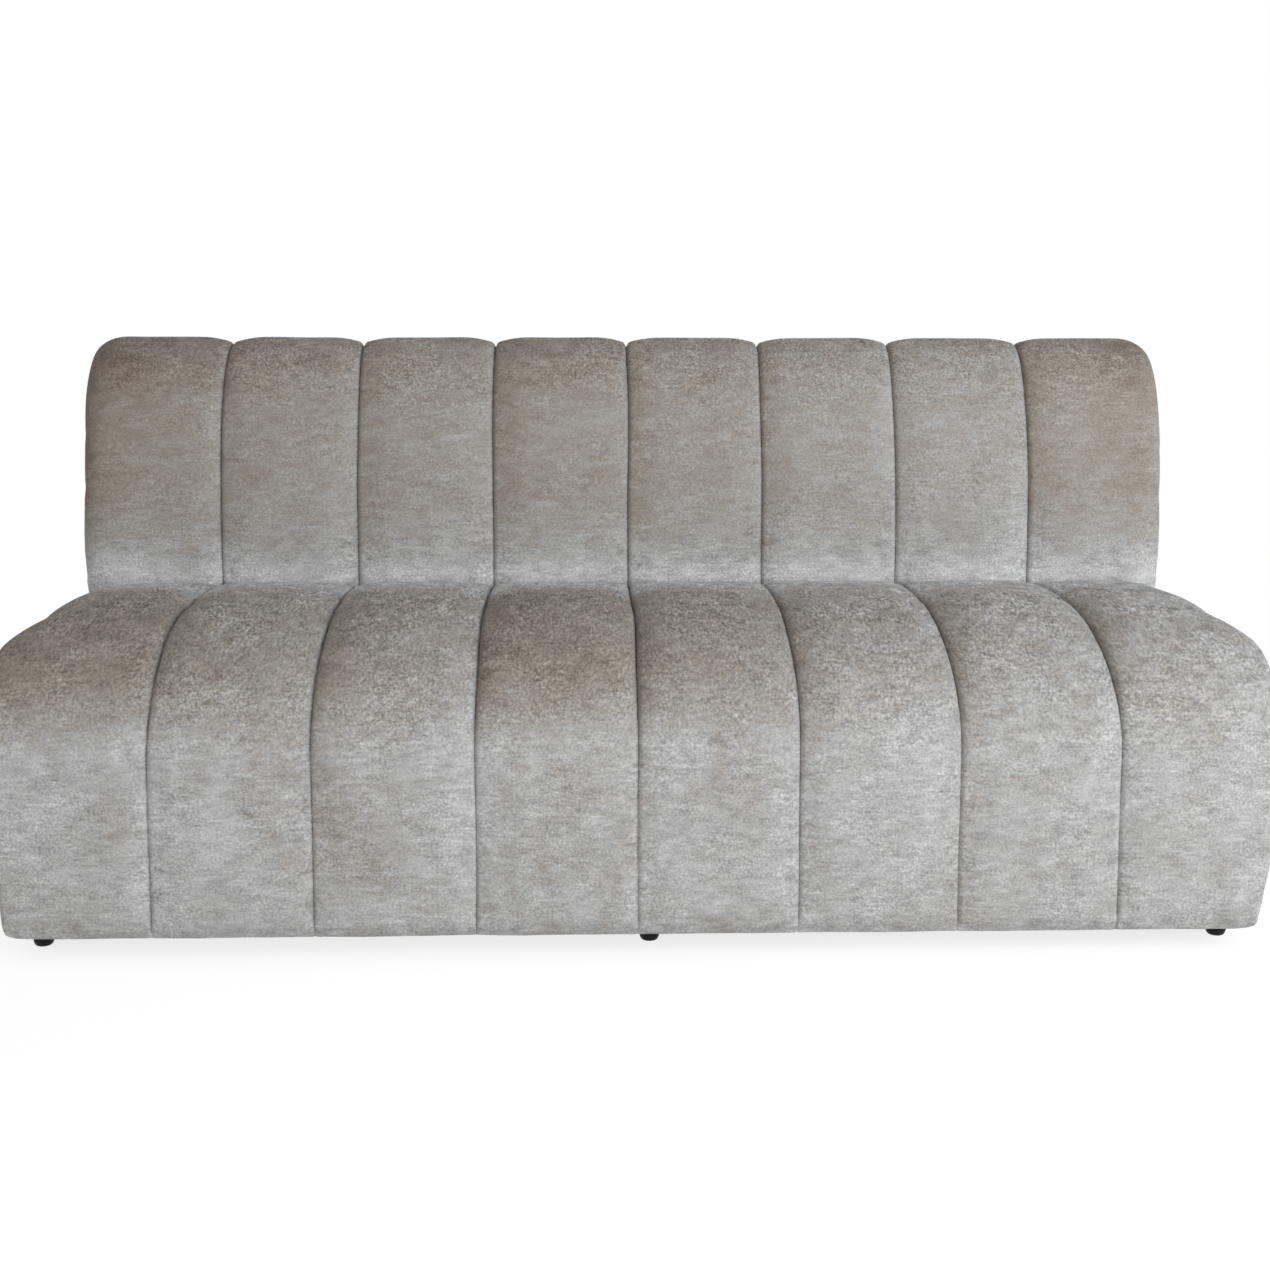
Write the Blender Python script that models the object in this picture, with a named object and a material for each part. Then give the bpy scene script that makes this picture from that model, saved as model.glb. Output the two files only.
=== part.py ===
"""Armless dining sofa with channelled seat and back, modelled piece by piece in metres.

The sofa faces -Y and +Z is up. The origin lies on the floor, under the middle of the sofa's box.
Side views are drawn as (y, z) points and are swept or extruded along X.
"""

import math

import bmesh
import bpy
from mathutils import Matrix, Vector

# Overall sizes
CHANNELS = 8
CHANNEL_PITCH = 0.225
SEAT_DEPTH = 0.528
BACK_DEPTH = 0.212
SEAT_HEIGHT = 0.472
BACK_RISE = 0.394
FIT = 0.0003

# Seat pads: stuffed channels over the seat, the nose and the front
CROWN = 0.014
SEAT_PAD_TOP = 0.060
SEAT_PAD_FRONT = 0.045
NOSE_RUN = 0.300
NOSE_DROP = 0.190
HEM_RADIUS = 0.010

# Back pads: stuffed channels up the front of the back and over its top
BACK_PAD = 0.050
BACK_PAD_TOP = 0.050
LUMBAR_RISE = 0.056
TOP_REAR_RUN = 0.064
TOP_REAR_DROP = 0.100
REAR_LIP = 0.020

# Rounded ends of the outermost channels: the back's bulge, the seat's slope away behind the nose
BACK_END_RUN = 0.056
BACK_END_BULGE = 0.008
FRONT_END_RUN = 0.030
CREASE_END_RUN = 0.105

# The seat's ends draw in towards the floor
END_TUCK = 0.024
TUCK_RISE = 0.200

# Covered panels at the ends and the rear, and the cover under the base
SIDE_PAD = 0.027
REAR_PAD = 0.021
PANEL_ROUND = 0.006
DUST_COVER = 0.0015
DUST_MARGIN = 0.036

# Frame of boards and rails
PLY = 0.015
RAIL = 0.045
POST = 0.030
SUPPORT_BOARD = 0.005
OUTER_BOARD = 0.004

# Foam, felt and springs
BACK_CORE = 0.040
EDGE_FOAM = 0.012
FELT = 0.004
SPRINGS = 8
SPRING_WIRE = 0.0036
SPRING_SWING = 0.024
SPRING_TURNS = 12
SPRING_ARCH = 0.025
SPRING_HOOK = 0.022

# Feet with moulded stems
FOOT_HEIGHT = 0.031
FOOT_RADIUS = 0.0145
FOOT_FLAT = 0.0090
FOOT_DOME = 0.0100
STEM_RADIUS = 0.005
STEM_LENGTH = 0.025
FOOT_RAIL_INSET = 0.0095
MIDDLE_FOOT_OFFSET = 0.019

# Fineness of the faceted shapes
TOP_STEPS = 3
NOSE_STEPS = 10
FRONT_STEPS = 3
HEM_STEPS = 4
TUCK_STEPS = 4
BACK_STEPS = 3
BACK_CURVE_STEPS = 10
REAR_CURVE_STEPS = 5
CROWN_STEPS = 4
SHOULDER_STEPS = 4
ARCH_STEPS = 8
FOOT_SIDES = 12
FOOT_STEPS = 4

# Shape of a channel's crown: flat along the middle, steep beside the seams
CROWN_POWER = 4.0
CROWN_FULLNESS = 0.55
CROWN_CROWDING = 2.2

# Shape of the rounded ends: shares of the pads' thickness that they lose there
BACK_END_LOSS = 0.80
FRONT_END_LOSS = 0.15
CREASE_END_LOSS = 0.86
END_EASING = 1.6

# Planes that the pieces share
HALF_WIDTH = CHANNELS * CHANNEL_PITCH / 2
Y_FRONT = -(SEAT_DEPTH + BACK_DEPTH) / 2
Y_BACK = Y_FRONT + SEAT_DEPTH
Y_REAR = Y_BACK + BACK_DEPTH
TOP_Z = SEAT_HEIGHT + BACK_RISE
BASE_Z = FOOT_HEIGHT + DUST_COVER + 2 * FIT
DECK_Z = SEAT_HEIGHT - SEAT_PAD_TOP
NOSE_Y = Y_FRONT + NOSE_RUN
NOSE_Z = SEAT_HEIGHT - NOSE_DROP
LUMBAR_Z = SEAT_HEIGHT + LUMBAR_RISE
CREST_Y = Y_REAR - TOP_REAR_RUN
BACK_RAIL_Z = TOP_Z - TOP_REAR_DROP
LIP_Z = BACK_RAIL_Z - REAR_LIP

# Space that the covers leave for the frame
X_IN = HALF_WIDTH - SIDE_PAD - FIT
X_CLEAR = X_IN - PLY - FIT
Y_IN = Y_FRONT + SEAT_PAD_FRONT + FIT
Y_PANEL = Y_REAR - REAR_PAD - FIT
Y_POST = Y_PANEL - OUTER_BOARD - FIT
Y_RAIL = Y_IN + PLY + FIT


def spread(start, end, steps):
    """Evenly spaced values from start to end, both included."""
    return [start + (end - start) * i / steps for i in range(steps + 1)]


def quarter(steps):
    """Angles from 0 to a quarter turn."""
    return spread(0, math.pi / 2, steps)


def nose_under(angle, clearance):
    """Point under the seat pads on the nose, an angle forward of its top."""
    run = NOSE_RUN - SEAT_PAD_FRONT - clearance
    drop = NOSE_DROP - SEAT_PAD_TOP - clearance
    return NOSE_Y - run * math.sin(angle), NOSE_Z + drop * math.cos(angle)


def nose_height(y):
    """Height of the seat pads' underside above a point of the frame's front edge."""
    reach = (NOSE_Y - y) / (NOSE_RUN - SEAT_PAD_FRONT)
    return NOSE_Z + (NOSE_DROP - SEAT_PAD_TOP) * math.sqrt(1 - reach * reach)


def back_under(angle, clearance):
    """Point under the back pads on the front curve, an angle above the lumbar line."""
    run = CREST_Y - Y_BACK - BACK_PAD - clearance
    rise = TOP_Z - LUMBAR_Z - BACK_PAD_TOP - clearance
    return CREST_Y - run * math.cos(angle), LUMBAR_Z + rise * math.sin(angle)


def rear_under(angle, clearance):
    """Point under the back pads on the rear curve, an angle behind the crest."""
    run = TOP_REAR_RUN - REAR_PAD - clearance
    drop = TOP_REAR_DROP - BACK_PAD_TOP - clearance
    return CREST_Y + run * math.sin(angle), BACK_RAIL_Z + drop * math.cos(angle)


# Heights of the seat's springs, which carry the felt and the foam
STACK = SPRING_WIRE + FELT + 3 * FIT
SPRING_Z = nose_height(Y_IN + PLY) - EDGE_FOAM - STACK
ARCH_FRONT = Y_RAIL + RAIL
ARCH_REAR = Y_BACK - FIT - RAIL


def arch(y):
    """Rise of the springs above the rails, along the felt's facets. Nothing over the rails."""
    share = (y - ARCH_FRONT) / (ARCH_REAR - ARCH_FRONT) * ARCH_STEPS
    if not 0 < share < ARCH_STEPS:
        return 0.0
    step = int(share)
    near, far = (SPRING_ARCH * (1 - (2 * i / ARCH_STEPS - 1) ** 2) for i in (step, step + 1))
    return near + (far - near) * (share - step)


# The back's posts lean: their front edge runs straight from the deck to the top rail
LEAN_FOOT_Y = Y_BACK + BACK_PAD + BACK_CORE + SUPPORT_BOARD + 3 * FIT
LEAN_TOP_Y = Y_POST - RAIL


def lean(z):
    """The y of the posts' front edge at a height."""
    share = (z - DECK_Z) / (BACK_RAIL_Z - DECK_Z)
    return LEAN_FOOT_Y + (LEAN_TOP_Y - LEAN_FOOT_Y) * share


def end_tuck(z):
    """How far the sofa's ends draw in at a height."""
    share = max(0.0, 1 - (z - BASE_Z) / TUCK_RISE)
    return END_TUCK * share * share


def end_inset(z):
    """How far a pad's end draws in at a height, with the hem's own rounding at the bottom."""
    turn = min(1.0, max(0.0, 1 - (z - BASE_Z) / HEM_RADIUS))
    return end_tuck(z) + HEM_RADIUS / 2 * (1 - math.sqrt(1 - turn * turn))


def clear_scene():
    for obj in list(bpy.data.objects):
        bpy.data.objects.remove(obj, do_unlink=True)


def material(name, colour, roughness, metallic=0.0):
    made = bpy.data.materials.new(name)
    made.use_nodes = True
    shader = made.node_tree.nodes["Principled BSDF"]
    shader.inputs["Base Color"].default_value = (*colour, 1.0)
    shader.inputs["Roughness"].default_value = roughness
    shader.inputs["Metallic"].default_value = metallic
    made.diffuse_color = (*colour, 1.0)
    return made


def place(name, data, look, location=(0.0, 0.0, 0.0)):
    """Links one sub-part under the sofa's empty, with its material."""
    obj = bpy.data.objects.new(name, data)
    bpy.context.scene.collection.objects.link(obj)
    obj.parent = SOFA
    obj.location = location
    if not data.materials:
        data.materials.append(look)
    return obj


def mesh_from(name, build, smooth_angle=None):
    """A closed mesh that a function fills, with its faces turned out."""
    work = bmesh.new()
    build(work)
    bmesh.ops.recalc_face_normals(work, faces=work.faces)
    mesh = bpy.data.meshes.new(name)
    work.to_mesh(mesh)
    work.free()
    if smooth_angle is not None:
        mesh.shade_smooth()
        mesh.set_sharp_from_angle(angle=smooth_angle)
    return mesh


def box(name, look, x, y, z):
    """A board or rail between two planes each way."""
    size = Vector((x[1] - x[0], y[1] - y[0], z[1] - z[0]))
    centre = Vector((x[0] + x[1], y[0] + y[1], z[0] + z[1])) / 2

    def build(work):
        bmesh.ops.create_cube(work, size=1.0, matrix=Matrix.Diagonal((*size, 1.0)))

    return place(name, mesh_from(name, build), look, centre)


def prism(name, look, outline, x):
    """A side view extruded along X between two planes."""
    middle = (x[0] + x[1]) / 2

    def build(work):
        corners = [work.verts.new((x[0] - middle, y, z)) for y, z in outline]
        face = work.faces.new(corners)
        swept = bmesh.ops.extrude_face_region(work, geom=[face])
        moved = [item for item in swept["geom"] if isinstance(item, bmesh.types.BMVert)]
        bmesh.ops.translate(work, verts=moved, vec=(x[1] - x[0], 0, 0))

    return place(name, mesh_from(name, build), look, (middle, 0, 0))


def soften(obj, outward, reach):
    """Rounds a panel's outer edge and draws its ends in towards the floor.

    outward tells whether a mesh point is on the outer face. reach gives the share of the
    ends' tuck that a mesh point takes, with the sign of its end.
    """
    work = bmesh.new()
    work.from_mesh(obj.data)
    rim = [e for e in work.edges if all(outward(v.co) for v in e.verts)]
    bmesh.ops.bevel(
        work, geom=rim, offset=PANEL_ROUND, segments=2, profile=0.5, affect="EDGES"
    )
    for z in spread(BASE_Z, BASE_Z + TUCK_RISE, TUCK_STEPS)[1:]:
        bmesh.ops.bisect_plane(
            work,
            geom=[*work.verts, *work.edges, *work.faces],
            plane_co=(0, 0, z - obj.location.z),
            plane_no=(0, 0, 1),
        )
    for vert in work.verts:
        vert.co.x -= reach(vert.co) * end_tuck(vert.co.z + obj.location.z)
    bmesh.ops.recalc_face_normals(work, faces=work.faces)
    work.to_mesh(obj.data)
    work.free()


def end_panel(name, look, outline, side):
    """A covered end panel: a side view extruded outwards."""
    half = SIDE_PAD / 2
    obj = prism(name, look, outline, (-half, half))
    obj.location.x = side * (HALF_WIDTH - half)
    soften(
        obj,
        outward=lambda co: co.x * side > 0,
        reach=lambda co: side * (co.x * side + half) / SIDE_PAD,
    )


def rear_panel(look):
    """The covered panel behind, as wide as the sofa."""
    obj = box(
        "rear_panel",
        look,
        (-HALF_WIDTH, HALF_WIDTH),
        (Y_REAR - REAR_PAD, Y_REAR),
        (BASE_Z, LIP_Z - FIT),
    )
    soften(
        obj,
        outward=lambda co: co.y > 0,
        reach=lambda co: math.copysign(1.0, co.x),
    )


def seat_profile():
    """Outer and inner points of a seat pad's side view, from the crease to the hem."""
    pairs = []
    for y in spread(Y_BACK - FIT, NOSE_Y, TOP_STEPS):
        pairs.append(((y, SEAT_HEIGHT), (y, DECK_Z)))
    for angle in quarter(NOSE_STEPS)[1:]:
        y = NOSE_Y - NOSE_RUN * math.sin(angle)
        z = NOSE_Z + NOSE_DROP * math.cos(angle)
        pairs.append(((y, z), nose_under(angle, 0)))
    for z in spread(NOSE_Z, BASE_Z + HEM_RADIUS, FRONT_STEPS)[1:]:
        pairs.append(((Y_FRONT, z), (Y_FRONT + SEAT_PAD_FRONT, z)))
    for angle in quarter(HEM_STEPS)[1:]:
        y = Y_FRONT + HEM_RADIUS * (1 - math.cos(angle))
        z = BASE_Z + HEM_RADIUS * (1 - math.sin(angle))
        pairs.append(((y, z), (Y_FRONT + SEAT_PAD_FRONT, z)))
    return pairs


def back_profile():
    """Outer and inner points of a back pad's side view, from the crease over the top."""
    pairs = []
    for z in spread(DECK_Z + FIT, LUMBAR_Z, BACK_STEPS):
        pairs.append(((Y_BACK, z), (Y_BACK + BACK_PAD, z)))
    for angle in quarter(BACK_CURVE_STEPS)[1:]:
        y = CREST_Y - (CREST_Y - Y_BACK) * math.cos(angle)
        z = LUMBAR_Z + (TOP_Z - LUMBAR_Z) * math.sin(angle)
        pairs.append(((y, z), back_under(angle, 0)))
    for angle in quarter(REAR_CURVE_STEPS)[1:]:
        y = CREST_Y + TOP_REAR_RUN * math.sin(angle)
        z = BACK_RAIL_Z + TOP_REAR_DROP * math.cos(angle)
        pairs.append(((y, z), rear_under(angle, 0)))
    pairs.append(((Y_REAR, LIP_Z), (Y_REAR - REAR_PAD, LIP_Z)))
    return pairs


def crown_columns(wall):
    """Columns from a channel's middle to its seam: (x, share of the wall that the crown loses)."""
    half = (CHANNEL_PITCH - FIT) / 2
    columns = []
    for step in range(1, CROWN_STEPS + 1):
        share = 1 - (1 - step / CROWN_STEPS) ** CROWN_CROWDING
        fullness = (1 - share**CROWN_POWER) ** CROWN_FULLNESS
        columns.append((half * share, CROWN * (1 - fullness) / wall))
    return columns


def shoulder_columns(reach, run, loss):
    """Columns from a channel's middle over the rounded end of the sofa: (x, share of the wall lost)."""
    columns = []
    for angle in quarter(SHOULDER_STEPS):
        x = reach - run + run * math.sin(angle)
        columns.append((x, loss * (1 - math.cos(angle))))
    return columns


def seat_end_columns(y, z):
    """The seat's end: a soft slope on the top that tightens over the nose."""
    share = min(1.0, (y - Y_FRONT) / NOSE_RUN) ** END_EASING
    run = FRONT_END_RUN + (CREASE_END_RUN - FRONT_END_RUN) * share
    loss = FRONT_END_LOSS + (CREASE_END_LOSS - FRONT_END_LOSS) * share
    return shoulder_columns(CHANNEL_PITCH / 2 - end_inset(z), run, loss)


def back_end_columns(y, z):
    """The back's end, which bulges past the seat's above the seat."""
    bulge = BACK_END_BULGE if z > SEAT_HEIGHT else 0.0
    return shoulder_columns(CHANNEL_PITCH / 2 + bulge, BACK_END_RUN, BACK_END_LOSS)


def pad_mesh(name, pairs, end_columns, left_end=False, right_end=False):
    """A stuffed channel: its side view swept across, sunk by the crown towards its edges."""

    def build(work):
        outer_rows = []
        inner_rows = []
        for outer, inner in pairs:
            wall = math.dist(outer, inner)
            left = end_columns(*outer) if left_end else crown_columns(wall)
            right = end_columns(*outer) if right_end else crown_columns(wall)
            columns = [(-x, loss) for x, loss in reversed(left)] + [(0.0, 0.0)] + right
            row = []
            for x, share in columns:
                y = outer[0] + (inner[0] - outer[0]) * share
                z = outer[1] + (inner[1] - outer[1]) * share
                row.append(work.verts.new((x, y, z)))
            outer_rows.append(row)
            ends = (row[0].co.x, row[-1].co.x)
            inner_rows.append([work.verts.new((x, *inner)) for x in ends])
        for i in range(len(pairs) - 1):
            here, there = outer_rows[i], outer_rows[i + 1]
            under, beyond = inner_rows[i], inner_rows[i + 1]
            for j in range(len(here) - 1):
                work.faces.new((here[j], here[j + 1], there[j + 1], there[j]))
            work.faces.new((here[0], there[0], beyond[0], under[0]))
            work.faces.new((here[-1], under[1], beyond[1], there[-1]))
            work.faces.new((under[0], beyond[0], beyond[1], under[1]))
        for row, under in ((outer_rows[0], inner_rows[0]), (outer_rows[-1], inner_rows[-1])):
            work.faces.new([*row, under[1], under[0]])

    return mesh_from(name, build, math.radians(40))


def add_channels(kind, pairs, end_columns, look):
    """All channels of the seat or the back. The middle ones share one mesh."""
    middle = pad_mesh(f"{kind}_channel", pairs, end_columns)
    for index in range(CHANNELS):
        ends = (index == 0, index == CHANNELS - 1)
        name = f"{kind}_channel_{index + 1}"
        mesh = pad_mesh(name, pairs, end_columns, *ends) if any(ends) else middle
        x = (index + 0.5) * CHANNEL_PITCH - HALF_WIDTH
        place(name, mesh, look, (x, 0, 0))


def base_end_outline():
    """The base's end under the seat pads."""
    nose = [nose_under(angle, FIT) for angle in reversed(quarter(NOSE_STEPS))]
    return [(Y_IN, BASE_Z), *nose, (Y_PANEL, DECK_Z - FIT), (Y_PANEL, BASE_Z)]


def back_end_outline():
    """The back's end under the back pads."""
    front = [back_under(angle, FIT) for angle in quarter(BACK_CURVE_STEPS)]
    rear = [rear_under(angle, FIT) for angle in quarter(REAR_CURVE_STEPS)[1:]]
    low = DECK_Z + FIT
    return [(Y_BACK + BACK_PAD + FIT, low), *front, *rear, (Y_PANEL, low)]


def seat_core_outline():
    """The seat's foam: over the felt, with a lip in front of the rail that rolls over the board."""
    nose = [nose_under(angle, FIT) for angle in quarter(NOSE_STEPS)[:-1]]
    lip = [(Y_IN, NOSE_Z + FIT), (Y_IN + PLY, NOSE_Z + FIT)]
    under = SPRING_Z + STACK
    bottom = [(Y_IN + PLY, under)]
    for y in spread(ARCH_FRONT, ARCH_REAR, ARCH_STEPS):
        bottom.append((y, under + arch(y)))
    return [(Y_BACK - FIT, DECK_Z - FIT), *nose, *lip, *bottom, (Y_BACK - FIT, under)]


def felt_outline():
    """The felt lies on the springs and on both rails."""
    low = SPRING_Z + SPRING_WIRE + 2 * FIT
    ends = (Y_RAIL, Y_BACK - FIT)
    path = [ends[0], *spread(ARCH_FRONT, ARCH_REAR, ARCH_STEPS), ends[1]]
    under = [(y, low + arch(y)) for y in path]
    return under + [(y, z + FELT) for y, z in reversed(under)]


def back_core_outline():
    """The back's foam: in front of the support board and over the top rail."""
    front = [back_under(angle, FIT) for angle in quarter(BACK_CURVE_STEPS)]
    rear = [rear_under(angle, FIT) for angle in quarter(REAR_CURVE_STEPS)[1:-1]]
    low = DECK_Z + FIT
    high = BACK_RAIL_Z + FIT
    behind = SUPPORT_BOARD + 2 * FIT
    return [
        (Y_BACK + BACK_PAD + FIT, low),
        *front,
        *rear,
        (Y_PANEL, high),
        (lean(BACK_RAIL_Z) - behind, high),
        (lean(DECK_Z) - behind, low),
    ]


def add_covers(looks):
    add_channels("seat", seat_profile(), seat_end_columns, looks["cover"])
    add_channels("back", back_profile(), back_end_columns, looks["cover"])
    for side, word in ((-1, "left"), (1, "right")):
        end_panel(f"base_end_panel_{word}", looks["cover"], base_end_outline(), side)
        end_panel(f"back_end_panel_{word}", looks["cover"], back_end_outline(), side)
    rear_panel(looks["cover"])
    dust = (BASE_Z - FIT - DUST_COVER, BASE_Z - FIT)
    width = HALF_WIDTH - DUST_MARGIN
    depth = (Y_FRONT + DUST_MARGIN, Y_REAR - DUST_MARGIN)
    return box("dust_cover", looks["dust"], (-width, width), depth, dust)


def add_base(looks):
    """Boards and rails of the base. Returns the rails that take the feet."""
    wood = looks["wood"]
    ply = looks["ply"]
    inner = (-X_CLEAR, X_CLEAR)
    box("front_board", ply, (-X_IN, X_IN), (Y_IN, Y_IN + PLY), (BASE_Z, NOSE_Z))
    for side, word in ((-1, "left"), (1, "right")):
        faces = sorted((side * (X_IN - PLY), side * X_IN))
        box(f"side_board_{word}", ply, faces, (Y_RAIL, Y_POST), (BASE_Z, SPRING_Z))
    spring_rail = (SPRING_Z - RAIL, SPRING_Z)
    box("front_spring_rail", wood, inner, (Y_RAIL, ARCH_FRONT), spring_rail)
    box("rear_spring_rail", wood, inner, (ARCH_REAR, Y_BACK - FIT), spring_rail)
    low = (BASE_Z, BASE_Z + RAIL)
    front = box("front_bottom_rail", wood, inner, (Y_RAIL, Y_RAIL + RAIL), low)
    rear = box("rear_bottom_rail", wood, inner, (Y_POST - RAIL, Y_POST), low)
    divider_top = SPRING_Z - RAIL - FIT
    divider_rear = LEAN_FOOT_Y - FIT
    divider = [
        (Y_RAIL + RAIL + FIT, BASE_Z),
        (divider_rear, BASE_Z),
        (divider_rear, divider_top),
        (Y_RAIL, divider_top),
        (Y_RAIL, BASE_Z + RAIL + FIT),
        (Y_RAIL + RAIL + FIT, BASE_Z + RAIL + FIT),
    ]
    prism("centre_divider", ply, divider, (-PLY / 2, PLY / 2))
    return front, rear


def add_back_frame(looks):
    """Posts, rails and boards of the back."""
    foot = BASE_Z + RAIL + FIT
    head = BACK_RAIL_Z - RAIL - FIT
    post = [
        (LEAN_FOOT_Y, foot),
        (LEAN_FOOT_Y, DECK_Z),
        (lean(head), head),
        (Y_POST, head),
        (Y_POST, foot),
    ]
    reach = X_CLEAR - POST
    for word, left in (("left", -X_CLEAR), ("centre", -POST / 2), ("right", reach)):
        prism(f"back_post_{word}", looks["wood"], post, (left, left + POST))
    rail = [
        (lean(BACK_RAIL_Z - RAIL), BACK_RAIL_Z - RAIL),
        (lean(BACK_RAIL_Z), BACK_RAIL_Z),
        (Y_POST, BACK_RAIL_Z),
        (Y_POST, BACK_RAIL_Z - RAIL),
    ]
    prism("back_top_rail", looks["wood"], rail, (-X_IN, X_IN))
    box(
        "back_lower_rail",
        looks["wood"],
        (-X_IN, X_IN),
        (Y_BACK, LEAN_FOOT_Y - FIT),
        (DECK_Z - RAIL, DECK_Z),
    )
    board = [
        (lean(DECK_Z) - SUPPORT_BOARD - FIT, DECK_Z + FIT),
        (lean(BACK_RAIL_Z) - SUPPORT_BOARD - FIT, BACK_RAIL_Z),
        (lean(BACK_RAIL_Z) - FIT, BACK_RAIL_Z),
        (lean(DECK_Z) - FIT, DECK_Z + FIT),
    ]
    prism("back_support_board", looks["board"], board, (-X_IN, X_IN))
    outer = (Y_POST + FIT, Y_POST + FIT + OUTER_BOARD)
    box("outer_back_board", looks["board"], (-X_IN, X_IN), outer, (BASE_Z, BACK_RAIL_Z))


def spring_path():
    """A zigzag wire from rail to rail, hooked flat onto each, with its corners cut."""
    front = ARCH_FRONT
    pitch = (ARCH_REAR - front) / SPRING_TURNS
    cut = pitch / 4
    low = SPRING_Z + FIT + SPRING_WIRE / 2
    points = [(0.0, front - SPRING_HOOK), (0.0, front), (0.0, front + cut)]
    for turn in range(1, SPRING_TURNS):
        y = front + turn * pitch
        side = SPRING_SWING if turn % 2 else -SPRING_SWING
        points.append((side - math.copysign(cut, side), y - pitch / 2))
        points.append((side, y - pitch / 2 + cut))
        points.append((side, y + pitch / 2 - cut))
        points.append((side - math.copysign(cut, side), y + pitch / 2))
    points += [(0.0, ARCH_REAR - cut), (0.0, ARCH_REAR), (0.0, ARCH_REAR + SPRING_HOOK)]
    return [(x, y, low + arch(y)) for x, y in points]


def add_seat_filling(looks):
    """Springs, felt and foam of the seat, and the foam of the back."""
    path = spring_path()
    step = 2 * X_CLEAR / SPRINGS
    for index in range(SPRINGS):
        name = f"seat_spring_{index + 1}"
        curve = bpy.data.curves.new(name, "CURVE")
        curve.dimensions = "3D"
        curve.bevel_depth = SPRING_WIRE / 2
        curve.bevel_resolution = 0
        curve.use_fill_caps = True
        spline = curve.splines.new("POLY")
        spline.points.add(len(path) - 1)
        for point, place_at in zip(spline.points, path):
            point.co = (*place_at, 1.0)
        place(name, curve, looks["steel"], ((index + 0.5) * step - X_CLEAR, 0, 0))
    prism("spring_felt", looks["felt"], felt_outline(), (-X_CLEAR, X_CLEAR))
    prism("seat_foam_core", looks["foam"], seat_core_outline(), (-X_IN, X_IN))
    prism("back_foam_core", looks["foam"], back_core_outline(), (-X_IN, X_IN))


def foot_mesh():
    """A domed foot turned in one piece with its stem."""
    profile = [(0.0, 0.0)]
    for angle in quarter(FOOT_STEPS):
        radius = FOOT_FLAT + (FOOT_RADIUS - FOOT_FLAT) * math.sin(angle)
        profile.append((radius, FOOT_DOME * (1 - math.cos(angle))))
    top = BASE_Z + STEM_LENGTH
    profile += [(FOOT_RADIUS, FOOT_HEIGHT), (STEM_RADIUS, FOOT_HEIGHT)]
    profile += [(STEM_RADIUS, top), (0.0, top)]

    def build(work):
        verts = [work.verts.new((radius, 0, z)) for radius, z in profile]
        edges = [work.edges.new(pair) for pair in zip(verts, verts[1:])]
        bmesh.ops.spin(
            work,
            geom=verts + edges,
            cent=(0, 0, 0),
            axis=(0, 0, 1),
            angle=math.tau,
            steps=FOOT_SIDES,
        )
        bmesh.ops.remove_doubles(work, verts=work.verts, dist=FIT / 10)

    return mesh_from("foot", build, math.radians(40))


def foot_places(rails):
    """Name and place of each foot, under the middle of its rail."""
    end = X_CLEAR - FOOT_RAIL_INSET
    rows = (("front", rails[0].location.y), ("rear", rails[1].location.y))
    columns = (("left", -end), ("middle", MIDDLE_FOOT_OFFSET), ("right", end))
    return [(f"foot_{row}_{column}", x, y) for row, y in rows for column, x in columns]


def add_feet(looks, rails, dust):
    """Feet, and the holes for their stems in the rails and the cover under the base."""
    places = foot_places(rails)
    mesh = foot_mesh()
    for name, x, y in places:
        place(name, mesh, looks["foot"], (x, y, 0))
    low = FOOT_HEIGHT / 2
    high = BASE_Z + STEM_LENGTH + FIT

    def build(work):
        for _, x, y in places:
            bmesh.ops.create_cone(
                work,
                cap_ends=True,
                segments=FOOT_SIDES,
                radius1=STEM_RADIUS + FIT,
                radius2=STEM_RADIUS + FIT,
                depth=high - low,
                matrix=Matrix.Translation((x, y, (low + high) / 2)),
            )

    cutter = place("stem_holes", mesh_from("stem_holes", build), looks["foot"])
    cutter.hide_render = True
    cutter.display_type = "WIRE"
    for target in (*rails, dust):
        cut = target.modifiers.new("Stem holes", "BOOLEAN")
        cut.operation = "DIFFERENCE"
        cut.solver = "EXACT"
        cut.object = cutter


clear_scene()
SOFA = bpy.data.objects.new("sofa", None)
bpy.context.scene.collection.objects.link(SOFA)
LOOKS = {
    "cover": material("taupe velvet", (0.33, 0.28, 0.25), 0.70),
    "dust": material("black nonwoven", (0.02, 0.02, 0.02), 0.90),
    "wood": material("pine", (0.58, 0.42, 0.26), 0.70),
    "ply": material("plywood", (0.62, 0.48, 0.32), 0.70),
    "board": material("hardboard", (0.30, 0.20, 0.13), 0.75),
    "foam": material("foam", (0.80, 0.74, 0.52), 0.90),
    "felt": material("felt", (0.45, 0.45, 0.44), 0.95),
    "steel": material("spring steel", (0.45, 0.45, 0.46), 0.35, 1.0),
    "foot": material("black plastic", (0.012, 0.012, 0.014), 0.40),
}
DUST = add_covers(LOOKS)
RAILS = add_base(LOOKS)
add_back_frame(LOOKS)
add_seat_filling(LOOKS)
add_feet(LOOKS, RAILS, DUST)
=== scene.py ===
"""Looks of a channelled dining sofa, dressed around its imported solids.

Everything is in metres, in the solids' frame: the sofa faces -Y, +Z is up, and the origin lies on
the floor under its middle. Stuffed pads and covered panels replace the plain soft solids, and every
surface gets a procedural material.
"""

import math

import bmesh
import bpy
import numpy as np
from mathutils import Matrix, Vector, noise


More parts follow.
